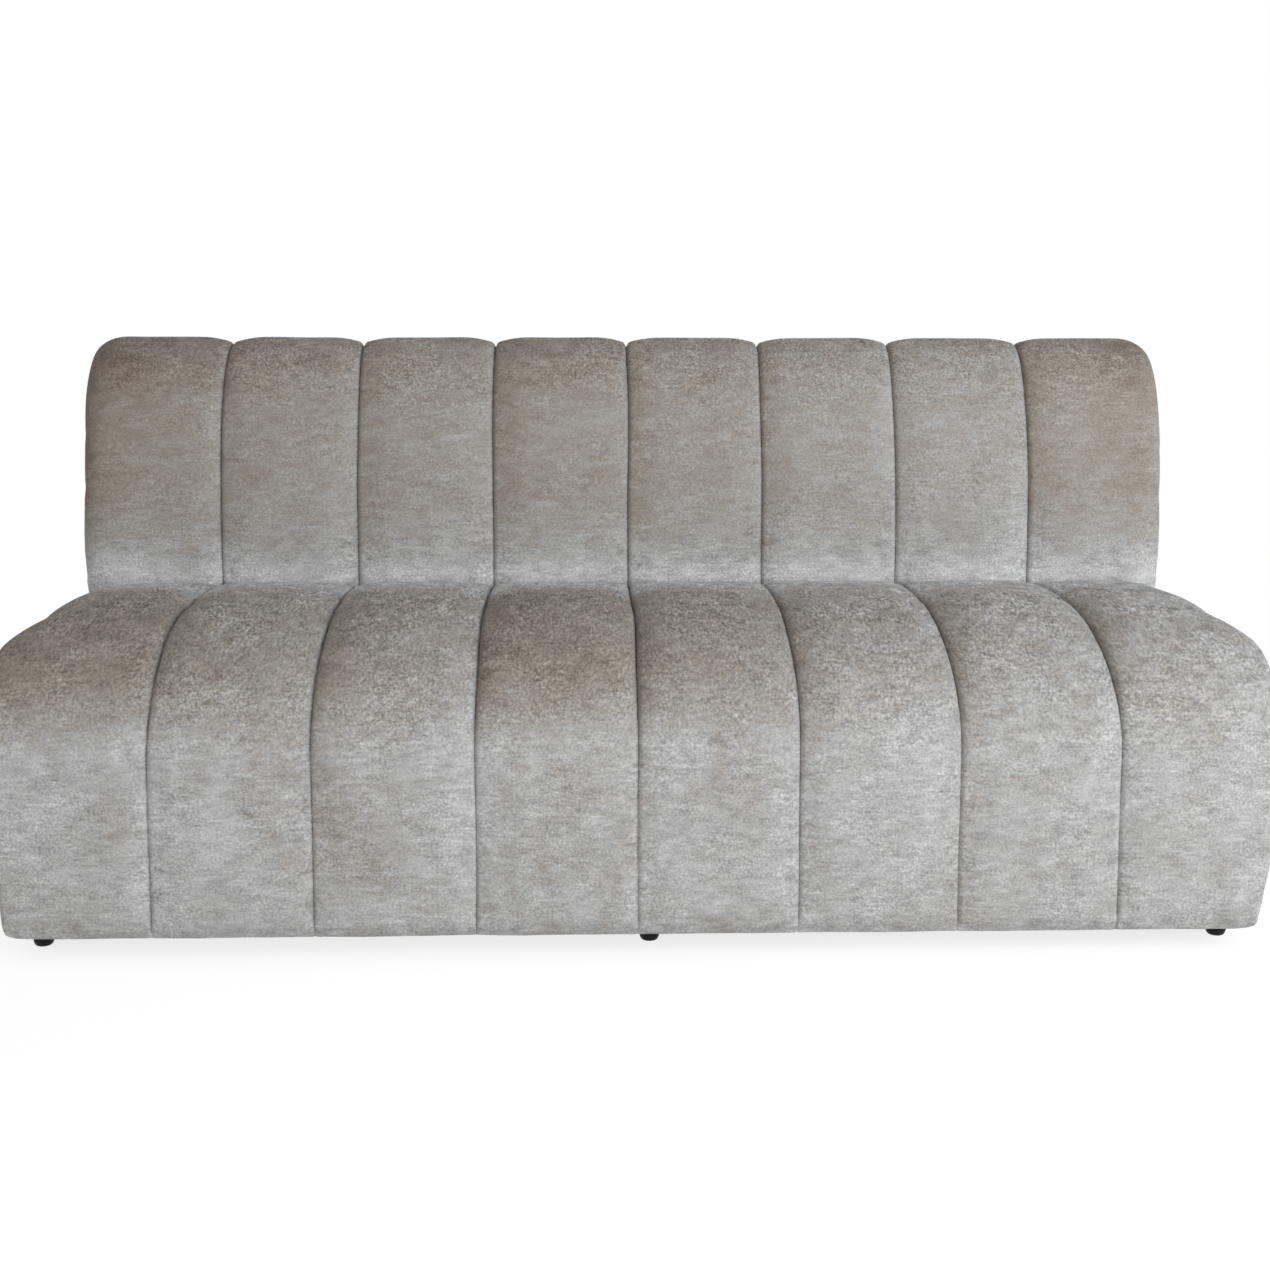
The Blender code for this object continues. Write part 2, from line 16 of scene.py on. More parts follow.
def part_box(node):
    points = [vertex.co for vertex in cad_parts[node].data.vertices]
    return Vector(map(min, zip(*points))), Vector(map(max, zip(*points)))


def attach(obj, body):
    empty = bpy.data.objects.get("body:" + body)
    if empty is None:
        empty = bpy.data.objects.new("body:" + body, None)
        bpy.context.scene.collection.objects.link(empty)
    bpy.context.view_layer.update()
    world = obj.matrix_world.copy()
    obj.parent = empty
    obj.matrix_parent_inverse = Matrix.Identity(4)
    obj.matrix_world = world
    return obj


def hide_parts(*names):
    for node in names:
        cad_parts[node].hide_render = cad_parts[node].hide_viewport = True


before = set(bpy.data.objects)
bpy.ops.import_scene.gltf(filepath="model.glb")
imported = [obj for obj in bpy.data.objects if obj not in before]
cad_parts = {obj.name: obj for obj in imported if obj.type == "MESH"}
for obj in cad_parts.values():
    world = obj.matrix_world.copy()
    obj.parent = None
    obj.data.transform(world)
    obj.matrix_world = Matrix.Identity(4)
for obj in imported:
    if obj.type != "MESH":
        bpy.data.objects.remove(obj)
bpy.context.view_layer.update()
SCENE = bpy.context.scene

# Planes taken from the solids
SEAT_LOW, SEAT_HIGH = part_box("seat_channel_3")
BACK_LOW, BACK_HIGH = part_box("back_channel_3")
CHANNELS = sum(name.startswith("seat_channel_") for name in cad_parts)
GAP = 0.0003
PITCH = SEAT_HIGH.x - SEAT_LOW.x + GAP
HALF_WIDTH = CHANNELS * PITCH / 2
Y_FRONT, Y_BACK, Y_REAR = SEAT_LOW.y, BACK_LOW.y, BACK_HIGH.y
BASE_Z, SEAT_Z, TOP_Z = SEAT_LOW.z, SEAT_HIGH.z, BACK_HIGH.z
DECK_Z = BACK_LOW.z - GAP

# Side view of the pads, as in the solids
SEAT_PAD_TOP = SEAT_Z - DECK_Z
SEAT_PAD_FRONT = 0.045
NOSE_RUN = 0.300
NOSE_DROP = 0.190
HEM_RUN = 0.010
HEM_DROP = 0.022
BACK_PAD = 0.050
BACK_PAD_TOP = 0.050
LUMBAR_RISE = 0.056
TOP_REAR_RUN = 0.064
TOP_REAR_DROP = 0.100
REAR_LIP = 0.020
SIDE_PAD = 0.027
REAR_PAD = 0.021
NOSE_Y = Y_FRONT + NOSE_RUN
NOSE_Z = SEAT_Z - NOSE_DROP
LUMBAR_Z = SEAT_Z + LUMBAR_RISE
CREST_Y = Y_REAR - TOP_REAR_RUN
BACK_RAIL_Z = TOP_Z - TOP_REAR_DROP
LIP_Z = BACK_RAIL_Z - REAR_LIP
Y_PANEL = Y_REAR - REAR_PAD - GAP

# Rounded ends of the outermost channels
BACK_END_RUN = 0.056
BACK_END_BULGE = 0.008
BACK_END_LOSS = 0.80
FRONT_END_RUN = 0.030
FRONT_END_LOSS = 0.15
CREASE_END_RUN = 0.105
CREASE_END_LOSS = 0.86
SEAT_END_REACH = (0.07, 0.23)
SEAT_END_BULGE = 0.006
SEAT_END_SLUMP = 0.60
END_TUCK = 0.024
TUCK_RISE = 0.200

# Fineness of the pads
ROW_STEP = 0.0095
HEM_STEP = 0.0030
SEAM_COLUMNS = 12
SEAM_CROWDING = 2.3
FLAT_COLUMNS = 5
SHOULDER_COLUMNS = 8
SIDE_COLUMNS = 4
WALL_SHARES = (0.04, 0.36, 0.70)
ELLIPSE_LENGTH = 1.11

# Crown of the channels: its flat share and its depth at the seams along the side view
CROWN_FLAT = 0.50
SEAT_CROWN = {"crease": 0.002, "nose": 0.013, "front": 0.006, "hem": 0.002}
BACK_CROWN = {"crease": 0.004, "lumbar": 0.005, "crest": 0.010, "lip": 0.006}

# Seams pulled in by their stitches, and the seat's slope down to the crease
SEAT_PINCH = {"top": 0.0105, "front": 0.0045, "hem": 0.0025}
BACK_PINCH = 0.0075
PINCH_RUN = 0.0036
PINCH_SHARPNESS = 1.5
NOTCH_DEPTH = 0.015
NOTCH_RUN = 0.014
NOTCH_REACH = 0.050
SEAM_DRIFT = 0.0030
DRIFT_LENGTH = 0.22
CREASE_DIP = 0.012
CREASE_HOLD = 0.110

# The pads' side walls at the sofa's ends, which draw in to the panels' seams
SIDE_TUCK = 0.007
SIDE_SHARE = 0.94

# Covered panels: rounded rims and a little fullness
PANEL_ROUND = 0.009
PANEL_PUFF = 0.004
PANEL_PUFF_RUN = 0.050
PANEL_ROWS = 30
PANEL_STEP = 0.022
PANEL_NAP = 0.80
PANEL_CROWDING = {"rows": 0.75, "base": 0.70, "rear": 0.80}

# Slow unevenness of hand-stretched covers
WAVE_HEIGHT = 0.0011
WAVE_LENGTH = 0.085

# Feet, the cover under the base, felt and foam
FOOT_HEIGHT = 0.031
FOOT_RADIUS = 0.0145
FOOT_FLAT = 0.0090
FOOT_DOME = 0.0100
FOOT_FILLET = 0.0016
FOOT_SIDES = 48
SOLE_SHARES = (0.6, 1.0)
DOME_STEPS = 10
FILLET_STEPS = 5
STEM_RADIUS = 0.005
STEM_LENGTH = 0.025
HOLE_HALF = 0.0065
DUST_STEP = 0.030
DUST_SAG = 0.0035
DUST_HEM = 0.016
DUST_FOLD = 0.0006
FELT = 0.004
FELT_STEP = 0.030
ARCH_STEPS = 8
FOAM_ROUND = 0.005
FOAM_SEGMENTS = 3
ROUND_PROFILE = 0.5
SHARP = math.radians(40)
SHEET_SHARP = math.radians(50)
PLACE_DIGITS = 5

# Nap and painted sheen: 0 where the pile shows its warm depth, 1 where it lies flat and grey, 2 where it
# shines.
# The grey and the shine are partly painted sheen: faces turned forward to the lamps are painted greyer than
# faces turned up, and the pile by the crease, at the seat's rear and the back's foot, is painted lighter
# against the shade there
UP_NAP, FRONT_NAP_AND_SHEEN = 0.60, 1.04
SEAT_NAP_AND_SHEEN = (UP_NAP, 0.54, 1.30, 0.90)
UP_SLOPE, FRONT_SLOPE = 0.80, 0.15
SEAT_NAP_PLACES = (-0.24, -0.09, 0.05, 0.14)
BACK_NAP_HEIGHTS = (0.46, 0.473, 0.485, 0.508, 0.54, 0.62, 0.74, 0.85)
BACK_NAP_AND_SHEEN = (1.50, 1.72, 1.52, 1.10, 0.86, 0.66, 0.66, 0.46)

# How the nap is brushed and painted: it is uneven by channel and falls at the ends; its lean, rising to the
# right, is painted light from the right; left is painted shade on each channel's left edge, right a painted
# sheen band on its right edge
BRUSHING_AND_PAINTED_LIGHT = {
    "seat": {"lean": 0.62, "ends": 0.0, "spread": 0.42, "seed": 538, "left": 0.50, "right": 0.20},
    "back": {"lean": 0.28, "ends": 0.80, "spread": 0.21, "seed": 707, "left": 0.25, "right": 0.40},
}
END_FALL = 6
END_FALL_MEAN = 0.15
FULL_NAP = 1.05
# Narrowness of the painted shade on the left edges and of the painted sheen band on the right edges
LEFT_SHADE_FALL, RIGHT_SHEEN_RISE = 3, 8

# Stuffing of the pads by cloth simulation
SIM_FRAMES = 20
SIM_PRESSURE = 4.0
SIM_SLACK = 0.012
SIM_LIMIT = 0.006
SIM_CLOTH = {
    "quality": 6,
    "mass": 0.4,
    "tension_stiffness": 20.0,
    "compression_stiffness": 20.0,
    "shear_stiffness": 8.0,
    "bending_stiffness": 4.0,
}
CREASE_SWELL = {"seat": 0.15, "back": 1.0}
TINY = 1e-12

# Floor: how much white the eye sees mixed in by the sofa, and where it runs out to plain white
FLOOR_REACH = 14.0
FLOOR_WHITE = 0.62
FLOOR_LIFT = 1.28
FLOOR_FADE = (1.3, 2.4)
FLOOR_PAINT = (0.92, 0.92, 0.92, 1.0)

# Camera: its place, its turns in degrees, and the picture's frame in pixels
CAMERA_PLACE = (-0.077, -2.628, 0.843)
CAMERA_TURNS = {"yaw": 1.82, "pitch": 7.5, "roll": 0.1}
LENS_PIXELS, IMAGE_PIXELS, HORIZON = 1680, 1270, 572.7
SENSOR = 36.0

# Studio: the surround's strength on the sofa and to the eye, and the lamps
SURROUND = {"To Min": 0.34, "To Max": 1.0}
WHITE = (1.0, 1.0, 1.0, 1.0)
LAMPS = {
    "key": {"place": (2.4, -2.2, 1.6), "target": (0.1, 0.0, 0.45), "size": (1.5, 1.5), "power": 47.0},
    "fill": {"place": (-0.6, -4.0, 1.3), "target": (0.0, 0.0, 0.45), "size": (2.5, 2.0), "power": 47.0},
    "rear": {"place": (-0.5, 3.8, 0.9), "target": (0.0, 0.3, 0.40), "size": (2.5, 1.4), "power": 42.0},
}

# Velvet: its noises, its colours by tone and its shader's plain values
VELVET_NOISES = {
    "grain": {"scale": 305.0, "stretch": (0.95, 0.28, 1.05), "detail": 1.0},
    "streak": {"scale": 85.0, "stretch": (0.60, 0.42, 2.4), "roughness": 0.6},
    "mottle": {
        "scale": 24.0,
        "stretch": (0.8, 0.5, 1.8),
        "detail": 3.0,
        "roughness": 0.65,
        "distortion": 0.8,
    },
    "dapple": {"scale": 48.0, "stretch": (0.8, 0.5, 1.3), "roughness": 0.6},
    "patch": {"scale": 5.0, "stretch": (1.5, 1.0, 0.8), "distortion": 1.2},
    "crush": {"scale": 13.0, "detail": 1.0, "distortion": 0.5},
    "bruise": {"scale": 21.0, "stretch": (1.0, 1.0, 1.5), "roughness": 0.6, "distortion": 1.0},
}
TONE_TOP = 2.0
# Colours from the warm pile through flat grey pile to a painted silver shine at the top
VELVET_TONES = {
    0.0: (0.205, 0.165, 0.135),
    0.5: (0.325, 0.289, 0.252),
    0.80: (0.384, 0.364, 0.342),
    0.96: (0.413, 0.412, 0.409),
    TONE_TOP: (0.662, 0.666, 0.670),
}
VELVET_SHADER = {
    "Roughness": 0.82,
    "Sheen_Weight": 0.15,
    "Sheen_Roughness": 0.45,
    "Sheen_Tint": (0.95, 0.95, 1.0, 1.0),
    "Specular_IOR_Level": 0.25,
}

# Velvet's tone: how far the side that a surface faces, as painted light from the right and painted shade on
# the left, and the noises move it
PAINTED_SIDE_LIGHT = 0.20
PATCH_TONE, FLAT_PATCHES = 0.35, 2.1
TONE_SWINGS = {"mottle": 0.85, "streak": 0.28}
FLAT_NAPS = (0.75, 1.00)
FLAT_SLOPES, FLAT_ON_TOP = (0.40, 0.80), 0.30

# Velvet's flecks: stronger on level and rising surfaces, where the extra contrast is painted shading of the
# pile's relief, calmer on laid pile, uneven where it is crushed
RAISED, LAID = 0.60, 1.00
LEVEL_SLOPES = (0.89, 0.997)
RISING_SLOPES, RISING_FLECKS = (0.30, 0.60), 0.85
LAID_FLECKS, RAISED_FLECKS = 0.45, 0.82
CRUSH_RANGE, CRUSH_FLECKS = (0.35, 0.65), (0.78, 1.25)
GRAIN_FLECKS = 1.1
STROKES = {"level": 0.2, "raised": 0.25, "laid": 0.5}
FLECK_POWER = 3.0
BRUISE_RANGE, BRUISE_DEPTH = (0.55, 0.72), 0.10
DAPPLE_DEPTH, LEVEL_DAPPLES = 0.55, 0.4
PILE_SWINGS = {"streak": 0.8, "grain": 0.5, "mottle": 3.0}
PILE_STRENGTH, PILE_HEIGHT = 1.0, 0.0007

# Speckled stuffs: two colours, the specks' fineness, roughness and the depth of their relief
STUFFS = {
    "black plastic": {
        "colours": ((0.005, 0.005, 0.006), (0.010, 0.010, 0.011)),
        "scale": 420,
        "roughness": 0.5,
        "depth": 0.0001,
        "gloss": 0.2,
    },
    "black nonwoven": {
        "colours": ((0.014, 0.014, 0.015), (0.034, 0.034, 0.036)),
        "scale": 700,
        "roughness": 0.9,
        "depth": 0.0004,
    },
    "grey felt": {
        "colours": ((0.36, 0.36, 0.35), (0.52, 0.52, 0.51)),
        "scale": 380,
        "roughness": 0.92,
        "depth": 0.0008,
    },
    "cut foam": {
        "colours": ((0.74, 0.67, 0.45), (0.84, 0.79, 0.58)),
        "scale": 520,
        "roughness": 0.9,
        "depth": 0.0006,
    },
    "hardboard": {
        "colours": ((0.24, 0.155, 0.10), (0.35, 0.24, 0.16)),
        "scale": 320,
        "roughness": 0.7,
        "depth": 0.0003,
    },
    "spring steel": {
        "colours": ((0.36, 0.36, 0.37), (0.52, 0.52, 0.53)),
        "scale": 240,
        "roughness": 0.36,
        "depth": 0.0001,
        "metal": 1.0,
    },
}
PLAIN_GLOSS = 0.5
SPECKS = {"detail": 4.0, "roughness": 0.65, "distortion": 0.3}
SPECK_BREADTH, SPECK_SWING = 12, 0.5
SPECK_STOPS = (0.30, 0.70)
SPECK_ROUGHNESS = 0.06
SPECK_RELIEF = 0.6

# Wood: colours from dark to light, and a grain that is long along one axis
WOODS = {
    "pine": ((0.46, 0.30, 0.16), (0.58, 0.41, 0.24), (0.66, 0.50, 0.32)),
    "plywood": ((0.52, 0.38, 0.23), (0.62, 0.48, 0.32), (0.70, 0.57, 0.41)),
}
X_AXIS, Y_AXIS, Z_AXIS = range(3)
FIBRE_STRETCH, PORE_STRETCH = 12.0, 4.0
WOOD_GRAIN = {"scale": 4.0, "detail": 5.0, "roughness": 0.6, "distortion": 0.8}
WARP_SCALE, WARP_SWING = 5.0, 0.6
PORE_SCALE, PORE_SWING, PORE_DEPTH = 9.0, 0.25, 0.5
WOOD_STOPS = (0.32, 0.50, 0.68)
WOOD_GRAINS, WOOD_ROUGHNESS = (0.3, 0.7), (0.54, 0.72)
WOOD_RELIEF, WOOD_DEPTH = 0.5, 0.0006
RAILS = ("front_spring", "rear_spring", "front_bottom", "rear_bottom", "back_top", "back_lower")


def spaced(start, end, step):
    """Evenly spaced values from start to end, about a step apart."""
    return np.linspace(start, end, max(2, round(abs(end - start) / step) + 1))


def smoothstep(share):
    """A share from 0 to 1 that starts and ends gently."""
    return share * share * (3 - 2 * share)


def eased(count, crowding):
    """Shares from 0 to 1 that crowd towards both ends."""
    share = np.linspace(0, 1, count)
    return share - crowding * np.sin(2 * math.pi * share) / (2 * math.pi)


def quarter(run, drop, step):
    """Angles over a quarter ellipse, for points about a step apart."""
    length = ELLIPSE_LENGTH * math.pi / 4 * (run + drop)
    return np.linspace(0, math.pi / 2, round(length / step) + 1)


def end_tuck(z):
    """How far the sofa's ends draw in at a height."""
    share = max(0.0, 1 - (z - BASE_Z) / TUCK_RISE)
    return END_TUCK * share * share


class Row:
    """One line across a channel: its crest, the point under it, the crown's depth and the nap with its
    painted sheen.

    At its seams it is pulled in by the pinch, a narrow groove, and by the notch, a rounded corner.
    """

    def __init__(self, outer, inner, crown, nap, pinch, notch=0.0):
        self.outer = np.array(outer)
        self.inner = np.array(inner)
        self.crown = crown
        self.nap = nap
        self.pinch = pinch
        self.notch = notch
        self.wall = float(np.linalg.norm(self.inner - self.outer))
        self.along = 0.0


def measured(rows):
    """Gives each row its distance along the side view."""
    for before, row in zip(rows, rows[1:]):
        row.along = before.along + float(np.linalg.norm(row.outer - before.outer))
    return rows


def seat_nap_and_sheen(y):
    """Nap of the seat's top from front to back, which lies flatter and is painted lighter towards the
    crease's shade.
    """
    at = np.interp(y, SEAT_NAP_PLACES, range(len(SEAT_NAP_PLACES)))
    step = min(int(at), len(SEAT_NAP_PLACES) - 2)
    return SEAT_NAP_AND_SHEEN[step] + (SEAT_NAP_AND_SHEEN[step + 1] - SEAT_NAP_AND_SHEEN[step]) * smoothstep(at - step)


def seat_rows():
    """Rows of a seat pad from the crease over the nose to the hem."""
    rows = []
    crown, pinch = SEAT_CROWN, SEAT_PINCH
    for y in spaced(Y_BACK - GAP, NOSE_Y, ROW_STEP):
        share = (y - NOSE_Y) / (Y_BACK - NOSE_Y)
        depth = crown["nose"] + (crown["crease"] - crown["nose"]) * math.sqrt(share)
        nap = seat_nap_and_sheen(y)
        notch = NOTCH_DEPTH * max(0.0, 1 - (Y_BACK - y) / NOTCH_REACH) ** 2
        crest = (y, SEAT_Z - CREASE_DIP * share**2)
        rows.append(Row(crest, (y, DECK_Z), depth, nap, pinch["top"], notch))
    for angle in quarter(NOSE_RUN, NOSE_DROP, ROW_STEP)[1:]:
        sine, cosine = math.sin(angle), math.cos(angle)
        outer = (NOSE_Y - NOSE_RUN * sine, NOSE_Z + NOSE_DROP * cosine)
        inner = (
            NOSE_Y - (NOSE_RUN - SEAT_PAD_FRONT) * sine,
            NOSE_Z + (NOSE_DROP - SEAT_PAD_TOP) * cosine,
        )
        depth = np.interp(outer[1], (NOSE_Z, SEAT_Z), (crown["front"], crown["nose"]))
        slope = math.cos(math.atan2(sine / NOSE_RUN, cosine / NOSE_DROP))
        # Faces turned forward to the lamps are painted greyer than faces turned up: a painted sheen
        nap = np.interp(slope, (FRONT_SLOPE, UP_SLOPE), (FRONT_NAP_AND_SHEEN, seat_nap_and_sheen(outer[0])))
        pull = np.interp(outer[1], (NOSE_Z, SEAT_Z), (pinch["front"], pinch["top"]))
        rows.append(Row(outer, inner, depth, nap, pull))
    hem_z = BASE_Z + HEM_DROP
    for z in spaced(NOSE_Z, hem_z, ROW_STEP)[1:]:
        depth = np.interp(z, (hem_z, NOSE_Z), (crown["hem"], crown["front"]))
        rows.append(Row((Y_FRONT, z), (Y_FRONT + SEAT_PAD_FRONT, z), depth, FRONT_NAP_AND_SHEEN, pinch["front"]))
    for angle in quarter(HEM_RUN, HEM_DROP, HEM_STEP)[1:]:
        y = Y_FRONT + HEM_RUN * (1 - math.cos(angle))
        z = hem_z - HEM_DROP * math.sin(angle)
        rows.append(Row((y, z), (Y_FRONT + SEAT_PAD_FRONT, z), crown["hem"], FRONT_NAP_AND_SHEEN, pinch["hem"]))
    return measured(rows)


def back_nap_and_sheen(z):
    """Nap of the back at a height, with a painted sheen at its foot against the crease's shade."""
    return np.interp(z, BACK_NAP_HEIGHTS, BACK_NAP_AND_SHEEN)


def back_rows():
    """Rows of a back pad from behind the seat over the top to the rear lip."""
    rows = []
    crown = BACK_CROWN
    for z in spaced(DECK_Z + GAP, LUMBAR_Z, ROW_STEP):
        rows.append(Row((Y_BACK, z), (Y_BACK + BACK_PAD, z), crown["crease"], back_nap_and_sheen(z), BACK_PINCH))
    run, rise = CREST_Y - Y_BACK, TOP_Z - LUMBAR_Z
    for angle in quarter(run, rise, ROW_STEP)[1:]:
        sine, cosine = math.sin(angle), math.cos(angle)
        outer = (CREST_Y - run * cosine, LUMBAR_Z + rise * sine)
        inner = (CREST_Y - (run - BACK_PAD) * cosine, LUMBAR_Z + (rise - BACK_PAD_TOP) * sine)
        depth = np.interp(outer[1], (LUMBAR_Z, TOP_Z), (crown["lumbar"], crown["crest"]))
        rows.append(Row(outer, inner, depth, back_nap_and_sheen(outer[1]), BACK_PINCH))
    for angle in quarter(TOP_REAR_RUN, TOP_REAR_DROP, ROW_STEP)[1:]:
        sine, cosine = math.sin(angle), math.cos(angle)
        outer = (CREST_Y + TOP_REAR_RUN * sine, BACK_RAIL_Z + TOP_REAR_DROP * cosine)
        inner = (
            CREST_Y + (TOP_REAR_RUN - REAR_PAD) * sine,
            BACK_RAIL_Z + (TOP_REAR_DROP - BACK_PAD_TOP) * cosine,
        )
        depth = np.interp(outer[1], (BACK_RAIL_Z, TOP_Z), (crown["lip"], crown["crest"]))
        nap = np.interp(outer[1], (BACK_RAIL_Z, TOP_Z), (PANEL_NAP, back_nap_and_sheen(TOP_Z)))
        rows.append(Row(outer, inner, depth, nap, BACK_PINCH))
    for z in spaced(BACK_RAIL_Z, LIP_Z, ROW_STEP)[1:]:
        rows.append(Row((Y_REAR, z), (Y_REAR - REAR_PAD, z), crown["lip"], PANEL_NAP, BACK_PINCH))
    return measured(rows)


def seam_columns(row):
    """Columns from a channel's middle to a seam: offsets and shares of the wall that the crown loses."""
    share = 1 - (1 - np.arange(1, SEAM_COLUMNS + 1) / SEAM_COLUMNS) ** SEAM_CROWDING
    fall = np.clip((share - CROWN_FLAT) / (1 - CROWN_FLAT), 0, 1)
    return (PITCH - GAP) / 2 * share, row.crown * fall * fall / row.wall


def shoulder_columns(reach, run, loss, slump=0.0):
    """Columns from a channel's middle over the sofa's rounded end and down its side wall.

    With slump the shoulder changes from an ellipse to a slack curve.
    """
    flat = np.linspace(0, reach - run, FLAT_COLUMNS + 1)[1:]
    angle = np.linspace(0, math.pi / 2, SHOULDER_COLUMNS + 1)[1:]
    down = np.linspace(0, 1, SIDE_COLUMNS + 1)[1:]
    shoulder = reach - run + run * ((1 - slump) * np.sin(angle) + slump * angle / (math.pi / 2))
    offset = np.concatenate((flat, shoulder, reach - SIDE_TUCK * down * down))
    fall = np.concatenate((0 * flat, loss * (1 - np.cos(angle)), loss + (SIDE_SHARE - loss) * down))
    return offset, fall


def seat_end(row):
    """The seat's end: a soft slope on the top that tightens over the nose."""
    y, z = row.outer
    share = smoothstep(np.interp(y - Y_FRONT, SEAT_END_REACH, (0, 1)))
    run = FRONT_END_RUN + (CREASE_END_RUN - FRONT_END_RUN) * share
    loss = FRONT_END_LOSS + (CREASE_END_LOSS - FRONT_END_LOSS) * share
    turn = min(1.0, max(0.0, 1 - (z - BASE_Z) / HEM_RUN))
    inset = end_tuck(z) + HEM_RUN * (1 - math.sqrt(1 - turn * turn))
    bulge = SEAT_END_BULGE * np.interp(z, (BASE_Z, BASE_Z + TUCK_RISE), (0, 1)) * (1 - share / 2)
    return shoulder_columns(PITCH / 2 - inset + bulge, run, loss, SEAT_END_SLUMP * share)


def back_end(row):
    """The back's end, which bulges past the seat's above the seat."""
    share = np.interp(row.outer[1], (DECK_Z, SEAT_Z - CREASE_DIP), (0, 1))
    return shoulder_columns(PITCH / 2 + BACK_END_BULGE * share, BACK_END_RUN, BACK_END_LOSS)


def drift(x, along):
    """How far the sewing strays to a side at some places along a row."""
    places = [Vector((at / DRIFT_LENGTH, along / DRIFT_LENGTH, 0.0)) for at in x]
    return SEAM_DRIFT * np.array([noise.noise(place) for place in places])


def pad_grids(rows, end, centre, left_end, right_end):
    """Points of a pad's cover and of its underside, row by row across the channel."""
    skin, under = [], []
    for row in rows:
        left = end(row) if left_end else seam_columns(row)
        right = end(row) if right_end else seam_columns(row)
        x = centre + np.concatenate((-left[0][::-1], [0.0], right[0]))
        loss = np.concatenate((left[1][::-1], [0.0], right[1]))
        x += drift(x, row.along)
        side = row.outer + np.outer(loss, row.inner - row.outer)
        skin.append(np.column_stack((x, side)))
        under.append(np.column_stack((x, np.tile(row.inner, (len(x), 1)))))
    return np.array(skin), np.array(under)


def shell(name, skin, under):
    """A closed mesh between two grids of points, with a wall in layers round their rim.

    The cover's points come first, row by row, so that they can be found again.
    """
    rows, columns = skin.shape[:2]
    index = np.arange(rows * columns).reshape(rows, columns)
    rim = np.concatenate((index[0], index[1:, -1], index[-1, -2::-1], index[-2:0:-1, 0]))
    flat_skin, flat_under = skin.reshape(-1, 3), under.reshape(-1, 3)
    points = [flat_skin, flat_under]
    loops = [rim]
    count = 2 * len(flat_skin)
    for share in WALL_SHARES:
        points.append(flat_skin[rim] * (1 - share) + flat_under[rim] * share)
        loops.append(np.arange(count, count + len(rim)))
        count += len(rim)
    loops.append(rim + len(flat_skin))
    corners = (index[:-1, :-1], index[:-1, 1:], index[1:, 1:], index[1:, :-1])
    quads = np.stack([c.ravel() for c in corners], axis=1)
    faces = [quads, quads[:, ::-1] + len(flat_skin)]
    for near, far in zip(loops, loops[1:]):
        faces.append(np.stack((near, far, np.roll(far, -1), np.roll(near, -1)), axis=1))
    return add_mesh(name, np.concatenate(points).tolist(), np.concatenate(faces).tolist())


def dress(piece, node, look):
    """The piece stands for a node, rides on the sofa's one body and takes a material."""
    piece.data.materials.clear()
    piece.data.materials.append(look)
    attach(piece, "root")
    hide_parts(node)
    return piece


def stuff(pads):
    """Swells the pads' covers by cloth simulation, all at once, and keeps the simulated shapes."""
    rest = {}
    for obj, skin in pads:
        rows, columns = skin.shape[:2]
        index = np.arange(rows * columns).reshape(rows, columns)
        free = set(index[1:-1, 1:-1].ravel().tolist())
        held = [v for v in range(len(obj.data.vertices)) if v not in free]
        obj.vertex_groups.new(name="held").add(held, 1.0, "REPLACE")
        cloth = obj.modifiers.new("Stuffing", "CLOTH")
        settings = cloth.settings
        for key, value in SIM_CLOTH.items():
            setattr(settings, key, value)
        settings.shrink_min = -SIM_SLACK
        settings.use_pressure = True
        settings.uniform_pressure_force = SIM_PRESSURE
        settings.vertex_group_mass = "held"
        settings.effector_weights.gravity = 0.0
        cloth.collision_settings.use_collision = False
        cloth.point_cache.frame_start = 1
        cloth.point_cache.frame_end = SIM_FRAMES
        rest[obj.name] = points_of(obj.data)
    for step in range(1, SIM_FRAMES + 1):
        SCENE.frame_set(step)
    graph = bpy.context.evaluated_depsgraph_get()
    swollen = {obj.name: points_of(obj.evaluated_get(graph).data) for obj, _ in pads}
    for obj, _ in pads:
        swell = CREASE_SWELL[obj.name.split("_")[0]]
        obj.modifiers.clear()
        obj.vertex_groups.clear()
        moved = swollen[obj.name] - rest[obj.name]
        length = np.linalg.norm(moved, axis=1, keepdims=True)
        moved *= np.minimum(1.0, SIM_LIMIT / np.maximum(length, TINY))
        away = np.abs(rest[obj.name][:, 1] - Y_BACK)
        moved *= np.interp(away, (0, CREASE_HOLD), (swell, 1.0))[:, None]
        put_points(obj.data, rest[obj.name] + moved)
    SCENE.frame_set(1)


def points_of(mesh):
    """A mesh's points as rows of an array."""
    values = np.empty(3 * len(mesh.vertices), np.float32)
    mesh.vertices.foreach_get("co", values)
    return values.reshape(-1, 3).astype(float)


def put_points(mesh, points):
    """Moves a mesh's points to an array's rows."""
    mesh.vertices.foreach_set("co", points.astype(np.float32).ravel())
    mesh.update()


def smooth(piece):
    """One subdivision over a piece's quads."""
    finer = piece.modifiers.new("Smooth", "SUBSURF")
    finer.levels = 1
    finer.render_levels = 1


def lay_nap_and_sheen(obj, naps):
    """Writes the nap and painted sheen of each of a piece's points, which its velvet reads."""
    layer = obj.data.attributes.new("nap", "FLOAT", "POINT")
    values = np.full(len(obj.data.vertices), UP_NAP)
    values[: len(naps)] = naps
    layer.data.foreach_set("value", values.astype(np.float32))


